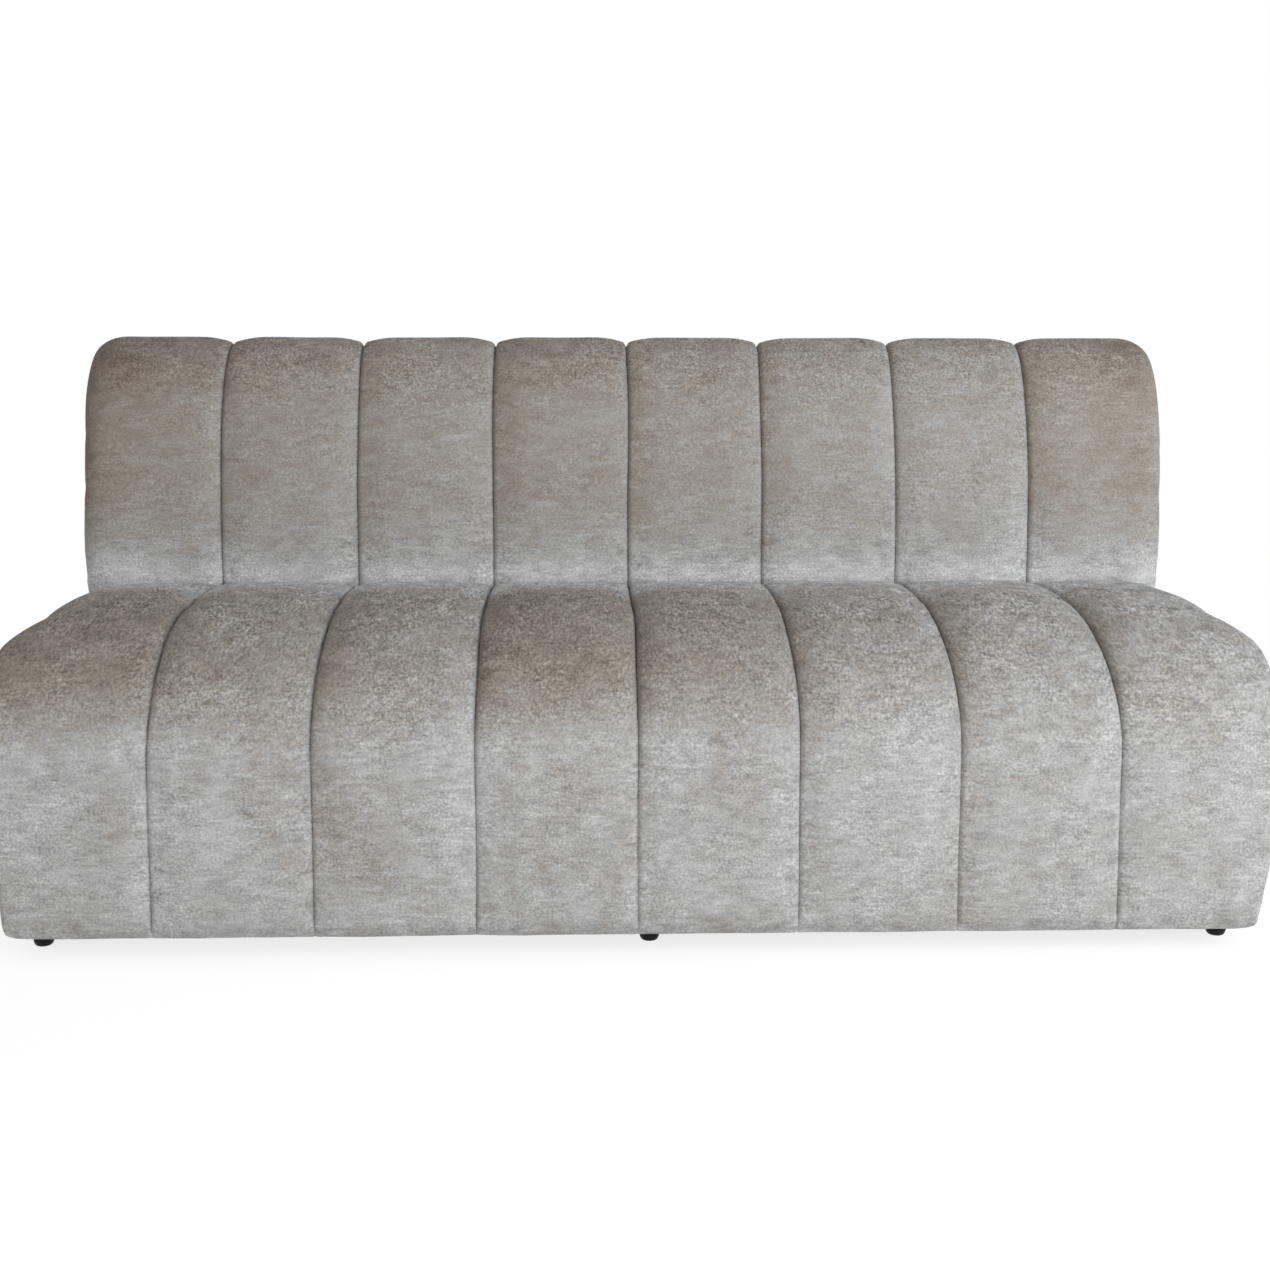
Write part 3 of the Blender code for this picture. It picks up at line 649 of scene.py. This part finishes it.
def sew(obj, skin, pinches, notches, left_seam, right_seam):
    """Pulls a swollen cover in along its seams, by each row's pinch and notch."""
    points = points_of(obj.data)
    rows, columns = skin.shape[:2]
    cover = points[: rows * columns].reshape(rows, columns, 3)
    for wanted, edge, step in ((left_seam, 0, 1), (right_seam, columns - 1, -1)):
        if not wanted:
            continue
        inward = points[rows * columns : 2 * rows * columns].reshape(rows, columns, 3)[:, edge]
        for offset in range(SEAM_COLUMNS):
            column = edge + step * offset
            reach = np.abs(cover[:, column, 0] - skin[:, edge, 0])
            pull = pinches * np.clip(1 - reach / PINCH_RUN, 0, 1) ** PINCH_SHARPNESS
            pull += notches * np.clip(1 - reach / NOTCH_RUN, 0, 1) ** 2
            aim = inward - cover[:, edge]
            aim[:, 0] = 0
            aim /= np.linalg.norm(aim, axis=1, keepdims=True)
            cover[:, column] += aim * pull[:, None]
    points[: rows * columns] = cover.reshape(-1, 3)
    put_points(obj.data, points)


def wave(points):
    """Slow unevenness of a cover at some points."""
    return np.array([noise.noise(Vector(p) / WAVE_LENGTH) for p in points]) * WAVE_HEIGHT


def ruffle(obj, count):
    """Moves a cover's first points along their normals by a slow unevenness."""
    points = points_of(obj.data)
    normals = np.empty(3 * len(points), np.float32)
    obj.data.vertices.foreach_get("normal", normals)
    shift = normals.reshape(-1, 3)[:count] * wave(points[:count])[:, None]
    points[:count] += shift
    put_points(obj.data, points)


def nap_with_painted_light(kind, number, skin, naps):
    """Nap and painted light over a channel's cover: the rows' own, and the brushing where the pile isn't laid
    flat.
    """
    brushing_and_light = BRUSHING_AND_PAINTED_LIGHT[kind]
    uneven = np.random.default_rng(brushing_and_light["seed"]).uniform(-1, 1, CHANNELS)[number - 1]
    along = skin[:, :, 0] / HALF_WIDTH
    across = np.clip((skin[:, :, 0] - pad_centre(number)) / (PITCH / 2), -1, 1)
    # Painted shade on the channel's left edge and a painted sheen band on its right edge
    left = np.clip(-across, 0, 1) ** LEFT_SHADE_FALL
    right = np.clip(across, 0, 1) ** RIGHT_SHEEN_RISE
    edges = brushing_and_light["right"] * right - brushing_and_light["left"] * left
    ends = brushing_and_light["ends"] * (END_FALL_MEAN - along**END_FALL)
    naps = np.array(naps)[:, None]
    loose = np.clip(FULL_NAP - naps, 0, None)
    # The lean rising to the right is painted light from the right
    return naps + loose * (brushing_and_light["lean"] * along + brushing_and_light["spread"] * uneven + ends + edges)


def pad_centre(number):
    """The x of a channel's middle."""
    return (number - 0.5) * PITCH - HALF_WIDTH


def add_pads(kind, rows, end, look):
    """All stuffed channels of the seat or the back, with their covers' points."""
    pads = []
    for number in range(1, CHANNELS + 1):
        skin, under = pad_grids(rows, end, pad_centre(number), number == 1, number == CHANNELS)
        name = f"{kind}_channel_{number}"
        obj = shell(f"{name}_pad", skin, under)
        lay_nap_and_sheen(obj, nap_with_painted_light(kind, number, skin, [row.nap for row in rows]).ravel())
        dress(obj, name, look)
        pads.append((obj, skin))
    return pads


def rim_distance(flat, outline):
    """Distance of points of a flat shape from its closed outline."""
    ends = np.array(outline)
    runs = np.roll(ends, -1, axis=0) - ends
    nearest = np.full(flat.shape[:2], np.inf)
    for start, run in zip(ends, runs):
        offset = flat - start
        share = np.clip(offset @ run / max(run @ run, TINY), 0, 1)
        away = np.linalg.norm(offset - share[:, :, None] * run, axis=2)
        nearest = np.minimum(nearest, away)
    return nearest


def covered_panel(name, look, columns, low, thickness, place):
    """A covered panel over a flat shape: columns of (position, top) above a level lower edge.

    place puts flat points at some heights above the board into the room.
    """
    shares = eased(PANEL_ROWS, PANEL_CROWDING["rows"])
    flat = np.array([[(at, low + s * (top - low)) for at, top in columns] for s in shares])
    depth = rim_distance(flat, [(columns[0][0], low), *columns, (columns[-1][0], low)])
    turn = np.clip(1 - depth / PANEL_ROUND, 0, 1)
    rounding = PANEL_ROUND * (1 - np.sqrt(1 - turn * turn))
    puff = PANEL_PUFF * (1 - np.exp(-depth / PANEL_PUFF_RUN))
    skin = place(flat, thickness - rounding + puff)
    obj = shell(f"{name}_cover", skin, place(flat, np.zeros_like(depth)))
    lay_nap_and_sheen(obj, np.full(flat.shape[0] * flat.shape[1], PANEL_NAP))
    ruffle(obj, flat.shape[0] * flat.shape[1])
    dress(obj, name, look)
    smooth(obj)


def base_columns():
    """Columns of the base's end: under the nose's curve, then level to the rear."""
    run, rise = NOSE_RUN - SEAT_PAD_FRONT - GAP, NOSE_DROP - SEAT_PAD_TOP - GAP
    columns = []
    for angle in quarter(run, rise, PANEL_STEP)[::-1]:
        columns.append((NOSE_Y - run * math.sin(angle), NOSE_Z + rise * math.cos(angle)))
    shares = eased(round((Y_PANEL - NOSE_Y) / PANEL_STEP), PANEL_CROWDING["base"])[1:]
    return columns + [(NOSE_Y + s * (Y_PANEL - NOSE_Y), DECK_Z - GAP) for s in shares]


def back_columns():
    """Columns of the back's end: up the front curve and down the rear one."""
    columns = []
    run, rise = CREST_Y - Y_BACK - BACK_PAD - GAP, TOP_Z - LUMBAR_Z - BACK_PAD_TOP - GAP
    for angle in quarter(run, rise, PANEL_STEP):
        columns.append((CREST_Y - run * math.cos(angle), LUMBAR_Z + rise * math.sin(angle)))
    run, drop = Y_PANEL - CREST_Y, TOP_REAR_DROP - BACK_PAD_TOP - GAP
    for angle in quarter(run, drop, PANEL_STEP / 2)[1:]:
        columns.append((CREST_Y + run * math.sin(angle), BACK_RAIL_Z + drop * math.cos(angle)))
    return columns


def add_panels(look):
    """The covered ends of the base and the back, and the covered rear."""
    tuck = np.vectorize(end_tuck)

    def place_end(side):
        def place(flat, height):
            reach = HALF_WIDTH - SIDE_PAD + height - tuck(flat[:, :, 1]) * height / SIDE_PAD
            return np.dstack((side * reach, flat))

        return place

    def place_rear(flat, height):
        x, z = flat[:, :, 0], flat[:, :, 1]
        return np.dstack((x - np.sign(x) * tuck(z), Y_REAR - REAR_PAD + height, z))

    for side, word in ((-1, "left"), (1, "right")):
        place = place_end(side)
        covered_panel(f"base_end_panel_{word}", look, base_columns(), BASE_Z, SIDE_PAD, place)
        covered_panel(f"back_end_panel_{word}", look, back_columns(), DECK_Z + GAP, SIDE_PAD, place)
    shares = 2 * eased(round(2 * HALF_WIDTH / PANEL_STEP), PANEL_CROWDING["rear"]) - 1
    rear = [(share * HALF_WIDTH, LIP_Z - GAP) for share in shares]
    covered_panel("rear_panel", look, rear, BASE_Z, REAR_PAD, place_rear)


def add_mesh(name, points, faces):
    """A smooth mesh object with outward faces."""
    mesh = bpy.data.meshes.new(name)
    mesh.from_pydata(points, [], faces)
    work = bmesh.new()
    work.from_mesh(mesh)
    bmesh.ops.recalc_face_normals(work, faces=work.faces)
    work.to_mesh(mesh)
    work.free()
    mesh.shade_smooth()
    obj = bpy.data.objects.new(name, mesh)
    SCENE.collection.objects.link(obj)
    return obj


def foot_profile():
    """Radius and height along a foot: flat sole, rounded side, top edge and stem."""
    profile = [(FOOT_FLAT * share, 0.0) for share in SOLE_SHARES]
    for angle in np.linspace(0, math.pi / 2, DOME_STEPS + 1)[1:]:
        radius = FOOT_FLAT + (FOOT_RADIUS - FOOT_FLAT) * math.sin(angle)
        profile.append((radius, FOOT_DOME * (1 - math.cos(angle))))
    for angle in np.linspace(0, math.pi / 2, FILLET_STEPS + 1):
        inset = FOOT_FILLET * (1 - math.cos(angle))
        profile.append((FOOT_RADIUS - inset, FOOT_HEIGHT - FOOT_FILLET * (1 - math.sin(angle))))
    top = BASE_Z + STEM_LENGTH
    profile += [(STEM_RADIUS, FOOT_HEIGHT), (STEM_RADIUS, top - FOOT_FILLET)]
    return profile + [(STEM_RADIUS - FOOT_FILLET, top)]


def add_feet(look):
    """Turned plastic feet with their stems."""
    profile = foot_profile()
    rings = len(profile)
    turns = np.linspace(0, math.tau, FOOT_SIDES, endpoint=False)
    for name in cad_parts:
        if not name.startswith("foot_"):
            continue
        low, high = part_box(name)
        middle = (low + high) / 2
        points = []
        for radius, z in profile:
            circle = [(radius * math.cos(turn), radius * math.sin(turn)) for turn in turns]
            points += [(middle.x + x, middle.y + y, z) for x, y in circle]
        faces = []
        for ring in range(rings - 1):
            for side in range(FOOT_SIDES):
                after = (side + 1) % FOOT_SIDES
                near, far = ring * FOOT_SIDES, (ring + 1) * FOOT_SIDES
                faces.append((near + side, near + after, far + after, far + side))
        faces.append(tuple(range(FOOT_SIDES)))
        faces.append(tuple(range((rings - 1) * FOOT_SIDES, rings * FOOT_SIDES)))
        obj = add_mesh(f"{name}_turned", points, faces)
        obj.data.set_sharp_from_angle(angle=SHARP)
        dress(obj, name, look)


def thick_sheet(name, xs, ys, height, thickness, holes=()):
    """A closed sheet over lines in x and y, with its underside at some height and a few open cells."""
    across = len(xs)
    count = across * len(ys)
    under = [(x, y, height(x, y)) for y in ys for x in xs]
    points = under + [(x, y, z + thickness) for x, y, z in under]
    cells = []
    for row in range(len(ys) - 1):
        for column in range(across - 1):
            middle = ((xs[column] + xs[column + 1]) / 2, (ys[row] + ys[row + 1]) / 2)
            if any(math.dist(middle, hole) < HOLE_HALF for hole in holes):
                continue
            corner = row * across + column
            cells.append((corner, corner + 1, corner + across + 1, corner + across))
    edges = {(cell[i - 1], cell[i]) for cell in cells for i in range(len(cell))}
    faces = cells + [tuple(c + count for c in cell) for cell in cells]
    for a, b in sorted(edges):
        if (b, a) not in edges:
            faces.append((b, a, a + count, b + count))
    obj = add_mesh(name, points, faces)
    obj.data.set_sharp_from_angle(angle=SHEET_SHARP)
    return obj


def lines(low, high, step, holes):
    """Grid lines from low to high, with a pair round each hole."""
    pairs = [hole + side * HOLE_HALF for hole in sorted(set(holes)) for side in (-1, 1)]
    clear = [v for v in spaced(low, high, step) if all(abs(v - p) > HOLE_HALF / 2 for p in pairs)]
    inside = [v for v in clear if all(abs(v - hole) > HOLE_HALF for hole in holes)]
    return sorted(inside + pairs)


def add_dust_cover(look):
    """Black cloth stapled under the base, pierced by the feet's stems, which sags a little."""
    low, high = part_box("dust_cover")
    feet = [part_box(name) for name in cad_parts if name.startswith("foot_")]
    stems = [((a.x + b.x) / 2, (a.y + b.y) / 2) for a, b in feet]
    xs = lines(low.x, high.x, DUST_STEP, [round(x, PLACE_DIGITS) for x, _ in stems])
    ys = lines(low.y, high.y, DUST_STEP, [round(y, PLACE_DIGITS) for _, y in stems])

    def height(x, y):
        share = (y - low.y) / (high.y - low.y)
        bay = abs(math.sin(math.pi * x / high.x))
        rim = min(x - low.x, high.x - x, y - low.y, high.y - y)
        hem = DUST_FOLD * max(0.0, 1 - rim / DUST_HEM)
        return low.z - DUST_SAG * bay * math.sin(math.pi * share) ** 2 - hem

    obj = thick_sheet("dust_cover_cloth", xs, ys, height, high.z - low.z, stems)
    dress(obj, "dust_cover", look)


def add_felt(look):
    """Felt laid over the springs, from rail to rail."""
    low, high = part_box("spring_felt")
    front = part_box("front_spring_rail")[1].y
    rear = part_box("rear_spring_rail")[0].y
    arch = high.z - low.z - FELT
    knots = np.linspace(-1, 1, ARCH_STEPS + 1)
    places = front + (knots + 1) / 2 * (rear - front)

    def height(x, y):
        return low.z + float(np.interp(y, places, arch * (1 - knots * knots)))

    ys = sorted({low.y, high.y, *places.tolist()})
    obj = thick_sheet("spring_felt_mat", spaced(low.x, high.x, FELT_STEP), ys, height, FELT)
    dress(obj, "spring_felt", look)
    length = sum(math.hypot(b - a, height(0, b) - height(0, a)) for a, b in zip(ys, ys[1:]))


def add_foam(node, look):
    """A cut block of foam with eased edges."""
    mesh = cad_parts[node].data.copy()
    work = bmesh.new()
    work.from_mesh(mesh)
    edges = [e for e in work.edges if e.is_convex and e.calc_face_angle(0) > SHARP]
    shape = {"offset": FOAM_ROUND, "segments": FOAM_SEGMENTS, "profile": ROUND_PROFILE}
    bmesh.ops.bevel(work, geom=edges, affect="EDGES", **shape)
    work.to_mesh(mesh)
    work.free()
    mesh.shade_smooth()
    mesh.set_sharp_from_angle(angle=SHARP)
    obj = bpy.data.objects.new(f"{node}_block", mesh)
    SCENE.collection.objects.link(obj)
    dress(obj, node, look)


def repaint(start, look):
    """Gives the solids whose names start so a better material."""
    for name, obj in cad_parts.items():
        if name.startswith(start):
            obj.data.materials.clear()
            obj.data.materials.append(look)


class Graph:
    """A material's nodes, added one call at a time."""

    def __init__(self, name):
        self.material = bpy.data.materials.new(name)
        self.material.use_nodes = True
        self.tree = self.material.node_tree
        self.shader = self.tree.nodes["Principled BSDF"]

    def feed(self, socket, value):
        """Links an output, or sets a constant, on an input."""
        if isinstance(value, bpy.types.NodeSocket):
            self.tree.links.new(value, socket)
        else:
            socket.default_value = value

    def add(self, kind, inputs=(), **settings):
        """A node with its settings, and its inputs fed."""
        node = self.tree.nodes.new(kind)
        for key, value in settings.items():
            setattr(node, key, value)
        for key, value in dict(inputs).items():
            self.feed(node.inputs[key], value)
        return node

    def set(self, **inputs):
        """Sets the shader's own sockets; an underscore stands for a space."""
        for key, value in inputs.items():
            self.feed(self.shader.inputs[key.replace("_", " ")], value)

    def position(self, stretch):
        """A place on the object, stretched along the axes."""
        place = self.add("ShaderNodeTexCoord").outputs["Object"]
        return self.add("ShaderNodeMapping", {"Vector": place, "Scale": stretch}).outputs[0]

    def noise(self, scale, stretch=(1.0, 1.0, 1.0), detail=2.0, roughness=0.5, distortion=0.0):
        """A cloudy value over the object, from about 0 to 1."""
        inputs = {
            "Vector": self.position(stretch),
            "Scale": scale,
            "Detail": detail,
            "Roughness": roughness,
            "Distortion": distortion,
        }
        return self.add("ShaderNodeTexNoise", inputs).outputs["Fac"]

    def math(self, operation, first, second):
        """One sum with two values."""
        made = self.add("ShaderNodeMath", {0: first, 1: second}, operation=operation)
        return made.outputs[0]

    def swing(self, value, amount):
        """A noise value about its middle, times an amount."""
        return self.math("MULTIPLY", self.math("SUBTRACT", value, 0.5), amount)

    def total(self, *values):
        """All the values added up."""
        result = values[0]
        for value in values[1:]:
            result = self.math("ADD", result, value)
        return result

    def product(self, *values):
        """All the values multiplied."""
        result = values[0]
        for value in values[1:]:
            result = self.math("MULTIPLY", result, value)
        return result

    def ranged(self, value, low, high, start=0.0, end=1.0, curve="SMOOTHSTEP"):
        """A value that goes from start to end while another goes from low to high."""
        inputs = {
            "Value": value,
            "From Min": low,
            "From Max": high,
            "To Min": start,
            "To Max": end,
        }
        made = self.add("ShaderNodeMapRange", inputs, interpolation_type=curve)
        return made.outputs[0]

    def ramp(self, value, stops):
        """A colour ramp through (place, colour) stops."""
        node = self.add("ShaderNodeValToRGB", {"Fac": value})
        elements = node.color_ramp.elements
        while len(elements) < len(stops):
            elements.new(0.5)
        for element, (place, colour) in zip(elements, stops):
            element.position = place
            element.color = (*colour, 1.0)
        return node.outputs["Color"]

    def scaled(self, colour, factor):
        """A colour times a number that varies over the surface."""
        inputs = {0: colour, "Scale": factor}
        return self.add("ShaderNodeVectorMath", inputs, operation="SCALE").outputs[0]

    def bump(self, height, strength, distance):
        """Fine relief on the shader's normal."""
        inputs = {"Height": height, "Strength": strength, "Distance": distance}
        self.set(Normal=self.add("ShaderNodeBump", inputs).outputs[0])


def velvet():
    """Crushed velvet: warm where the pile stands up, silvery where it lies flat or is painted with sheen."""
    graph = Graph("crushed velvet")
    nap = graph.add("ShaderNodeAttribute", attribute_name="nap").outputs["Fac"]
    normal = graph.add("ShaderNodeNewGeometry").outputs["Normal"]
    facing = graph.add("ShaderNodeSeparateXYZ", {0: normal}).outputs
    marks = {name: graph.noise(**look) for name, look in VELVET_NOISES.items()}
    level = graph.ranged(facing["Z"], *LEVEL_SLOPES)
    rising = graph.ranged(facing["Z"], *RISING_SLOPES, 0.0, RISING_FLECKS)
    flat = graph.product(
        graph.ranged(nap, *FLAT_NAPS),
        graph.ranged(facing["Z"], *FLAT_SLOPES, 1.0, FLAT_ON_TOP),
    )

    patches = graph.total(graph.product(flat, FLAT_PATCHES), 1.0)
    tone = graph.total(
        nap,
        # Right-facing sides are painted lighter and left-facing ones darker: painted light from the right
        graph.product(facing["X"], PAINTED_SIDE_LIGHT),
        graph.product(graph.swing(marks["patch"], PATCH_TONE), patches),
        *(graph.swing(marks[name], amount) for name, amount in TONE_SWINGS.items()),
    )
    stops = [(place / TONE_TOP, shade) for place, shade in VELVET_TONES.items()]
    colour = graph.ramp(graph.math("DIVIDE", tone, TONE_TOP), stops)

    # Flecks stronger on level and rising surfaces: painted shading of the pile's relief
    upward = graph.product(
        graph.total(rising, level),
        graph.ranged(nap, RAISED, LAID, 1.0, LAID_FLECKS, "LINEAR"),
    )
    lively = graph.product(
        graph.total(upward, 1.0),
        graph.ranged(nap, RAISED, LAID, RAISED_FLECKS, 1.0, "LINEAR"),
        graph.ranged(marks["crush"], *CRUSH_RANGE, *CRUSH_FLECKS),
    )
    strokes = graph.total(
        graph.product(level, STROKES["level"]),
        graph.ranged(nap, RAISED, LAID, STROKES["raised"], STROKES["laid"]),
    )
    flecks = graph.total(
        graph.swing(marks["grain"], GRAIN_FLECKS),
        graph.product(graph.swing(marks["streak"], 1.0), strokes),
    )
    flecks = graph.product(flecks, graph.math("DIVIDE", lively, FLECK_POWER))
    light = graph.math("POWER", graph.total(flecks, 1.0), FLECK_POWER)
    bruises = graph.product(graph.ranged(marks["bruise"], *BRUISE_RANGE), flat)
    dapples = graph.total(flat, rising, graph.product(level, LEVEL_DAPPLES))
    light = graph.total(
        light,
        graph.product(bruises, -BRUISE_DEPTH),
        graph.product(graph.swing(marks["dapple"], DAPPLE_DEPTH), dapples),
    )

    graph.set(Base_Color=graph.scaled(colour, light), **VELVET_SHADER)
    pile = graph.total(*(graph.swing(marks[name], amount) for name, amount in PILE_SWINGS.items()))
    graph.bump(pile, PILE_STRENGTH, PILE_HEIGHT)
    return graph.material


def speckled(name):
    """A plain stuff whose tone varies between two colours over a fine and a broad noise."""
    look = STUFFS[name]
    graph = Graph(name)
    fine = graph.noise(look["scale"], **SPECKS)
    broad = graph.noise(look["scale"] / SPECK_BREADTH)
    tone = graph.total(fine, graph.swing(broad, SPECK_SWING))
    graph.set(Base_Color=graph.ramp(tone, list(zip(SPECK_STOPS, look["colours"]))))
    low, high = look["roughness"] - SPECK_ROUGHNESS, look["roughness"] + SPECK_ROUGHNESS
    graph.set(Roughness=graph.ranged(fine, *SPECK_STOPS, low, high, "LINEAR"))
    graph.set(Metallic=look.get("metal", 0.0), Specular_IOR_Level=look.get("gloss", PLAIN_GLOSS))
    graph.bump(fine, SPECK_RELIEF, look["depth"])
    return graph.material


def wood(name, kind, along):
    """Planed wood with its grain along an axis."""
    graph = Graph(name)
    stretch = [1.0 if axis == along else FIBRE_STRETCH for axis in (X_AXIS, Y_AXIS, Z_AXIS)]
    warp = graph.noise(WARP_SCALE)
    grain = graph.noise(stretch=stretch, **WOOD_GRAIN)
    pores = graph.noise(PORE_SCALE, [PORE_STRETCH * share for share in stretch])
    tone = graph.total(grain, graph.swing(warp, WARP_SWING), graph.swing(pores, PORE_SWING))
    graph.set(Base_Color=graph.ramp(tone, list(zip(WOOD_STOPS, WOODS[kind]))))
    graph.set(Roughness=graph.ranged(grain, *WOOD_GRAINS, *WOOD_ROUGHNESS, "LINEAR"))
    graph.bump(graph.total(grain, graph.swing(pores, PORE_DEPTH)), WOOD_RELIEF, WOOD_DEPTH)
    return graph.material


def paint_frame():
    """Wood, board and steel of the frame inside."""
    looks = (
        (wood("upright pine", "pine", Z_AXIS), ("back_post",)),
        (wood("level pine", "pine", X_AXIS), [f"{rail}_rail" for rail in RAILS]),
        (wood("level plywood", "plywood", X_AXIS), ("front_board",)),
        (wood("cross plywood", "plywood", Y_AXIS), ("side_board", "centre_divider")),
        (speckled("hardboard"), ("back_support_board", "outer_back_board")),
        (speckled("spring steel"), ("seat_spring",)),
    )
    for look, starts in looks:
        for start in starts:
            repaint(start, look)


def add_camera():
    """The camera stands a little left of the middle, just under the top's height, and looks slightly down."""
    data = bpy.data.cameras.new("camera")
    data.sensor_width = SENSOR
    data.lens = SENSOR * LENS_PIXELS / IMAGE_PIXELS
    data.shift_y = -(IMAGE_PIXELS / 2 - HORIZON) / IMAGE_PIXELS
    yaw, pitch, roll = (math.radians(CAMERA_TURNS[turn]) for turn in ("yaw", "pitch", "roll"))
    camera = bpy.data.objects.new("camera", data)
    camera.matrix_world = (
        Matrix.Translation(CAMERA_PLACE)
        @ Matrix.Rotation(-yaw, 4, "Z")
        @ Matrix.Rotation(math.pi / 2 - pitch, 4, "X")
        @ Matrix.Rotation(roll, 4, "Z")
    )
    SCENE.collection.objects.link(camera)
    SCENE.camera = camera


def add_lamp(name, place, target, size, power):
    """A soft rectangular light aimed at a point."""
    data = bpy.data.lights.new(name, "AREA")
    data.shape = "RECTANGLE"
    data.size, data.size_y = size
    data.energy = power
    lamp = bpy.data.objects.new(name, data)
    lamp.location = place
    aim = Vector(target) - Vector(place)
    lamp.rotation_euler = aim.to_track_quat("-Z", "Y").to_euler()
    SCENE.collection.objects.link(lamp)


def add_studio():
    """A white surround, dimmer on the sofa than to the eye, and plain soft lamps."""
    world = bpy.data.worlds.new("surround")
    SCENE.world = world
    world.use_nodes = True
    tree = world.node_tree
    background = tree.nodes["Background"]
    background.inputs["Color"].default_value = WHITE
    seen = tree.nodes.new("ShaderNodeLightPath").outputs["Is Camera Ray"]
    strength = tree.nodes.new("ShaderNodeMapRange")
    for key, value in SURROUND.items():
        strength.inputs[key].default_value = value
    tree.links.new(seen, strength.inputs["Value"])
    tree.links.new(strength.outputs[0], background.inputs["Strength"])
    for name, lamp in LAMPS.items():
        add_lamp(name, **lamp)


def floor_look():
    """A pale floor that keeps a light shadow by the sofa and runs out to white for the eye."""
    graph = Graph("pale floor")
    graph.tree.nodes.remove(graph.shader)
    plan = graph.position((1.0, 1.0, 0.0))
    distance = graph.add("ShaderNodeVectorMath", {0: plan}, operation="LENGTH").outputs["Value"]
    away = graph.ranged(distance, *FLOOR_FADE)
    path = graph.add("ShaderNodeLightPath").outputs
    seen = graph.math("MAXIMUM", path["Is Camera Ray"], path["Is Glossy Ray"])
    seen = graph.math("MAXIMUM", seen, path["Is Transmission Ray"])
    white = graph.ranged(away, 0.0, 1.0, FLOOR_WHITE, 1.0, "LINEAR")
    lift = graph.ranged(away, 0.0, 1.0, FLOOR_LIFT, 1.0, "LINEAR")
    paint = graph.add("ShaderNodeBsdfDiffuse", {"Color": FLOOR_PAINT}).outputs[0]
    glow = graph.add("ShaderNodeEmission", {"Strength": lift}).outputs[0]
    share = graph.product(seen, white)
    mixed = graph.add("ShaderNodeMixShader", {0: share, 1: paint, 2: glow}).outputs[0]
    graph.tree.links.new(mixed, graph.tree.nodes["Material Output"].inputs["Surface"])
    return graph.material


def add_floor():
    """The stage: one wide level face."""
    mesh = bpy.data.meshes.new("floor")
    reach = FLOOR_REACH
    corners = ((-reach, -reach, 0), (reach, -reach, 0), (reach, reach, 0), (-reach, reach, 0))
    mesh.from_pydata(corners, [], [(0, 1, 2, 3)])
    mesh.materials.append(floor_look())
    floor = bpy.data.objects.new("floor", mesh)
    SCENE.collection.objects.link(floor)


add_camera()
add_studio()
add_floor()
SCENE.view_settings.view_transform = "Standard"
VELVET = velvet()
SEAT_ROWS, BACK_ROWS = seat_rows(), back_rows()
SEAT_PADS = add_pads("seat", SEAT_ROWS, seat_end, VELVET)
BACK_PADS = add_pads("back", BACK_ROWS, back_end, VELVET)
stuff(SEAT_PADS + BACK_PADS)
for rows, pads in ((SEAT_ROWS, SEAT_PADS), (BACK_ROWS, BACK_PADS)):
    pinches = np.array([row.pinch for row in rows])
    notches = np.array([row.notch for row in rows])
    for number, (pad, cover) in enumerate(pads, 1):
        ruffle(pad, cover.shape[0] * cover.shape[1])
        sew(pad, cover, pinches, notches, number > 1, number < CHANNELS)
        smooth(pad)
add_panels(VELVET)
add_feet(speckled("black plastic"))
add_dust_cover(speckled("black nonwoven"))
add_felt(speckled("grey felt"))
FOAM = speckled("cut foam")
add_foam("seat_foam_core", FOAM)
add_foam("back_foam_core", FOAM)
paint_frame()
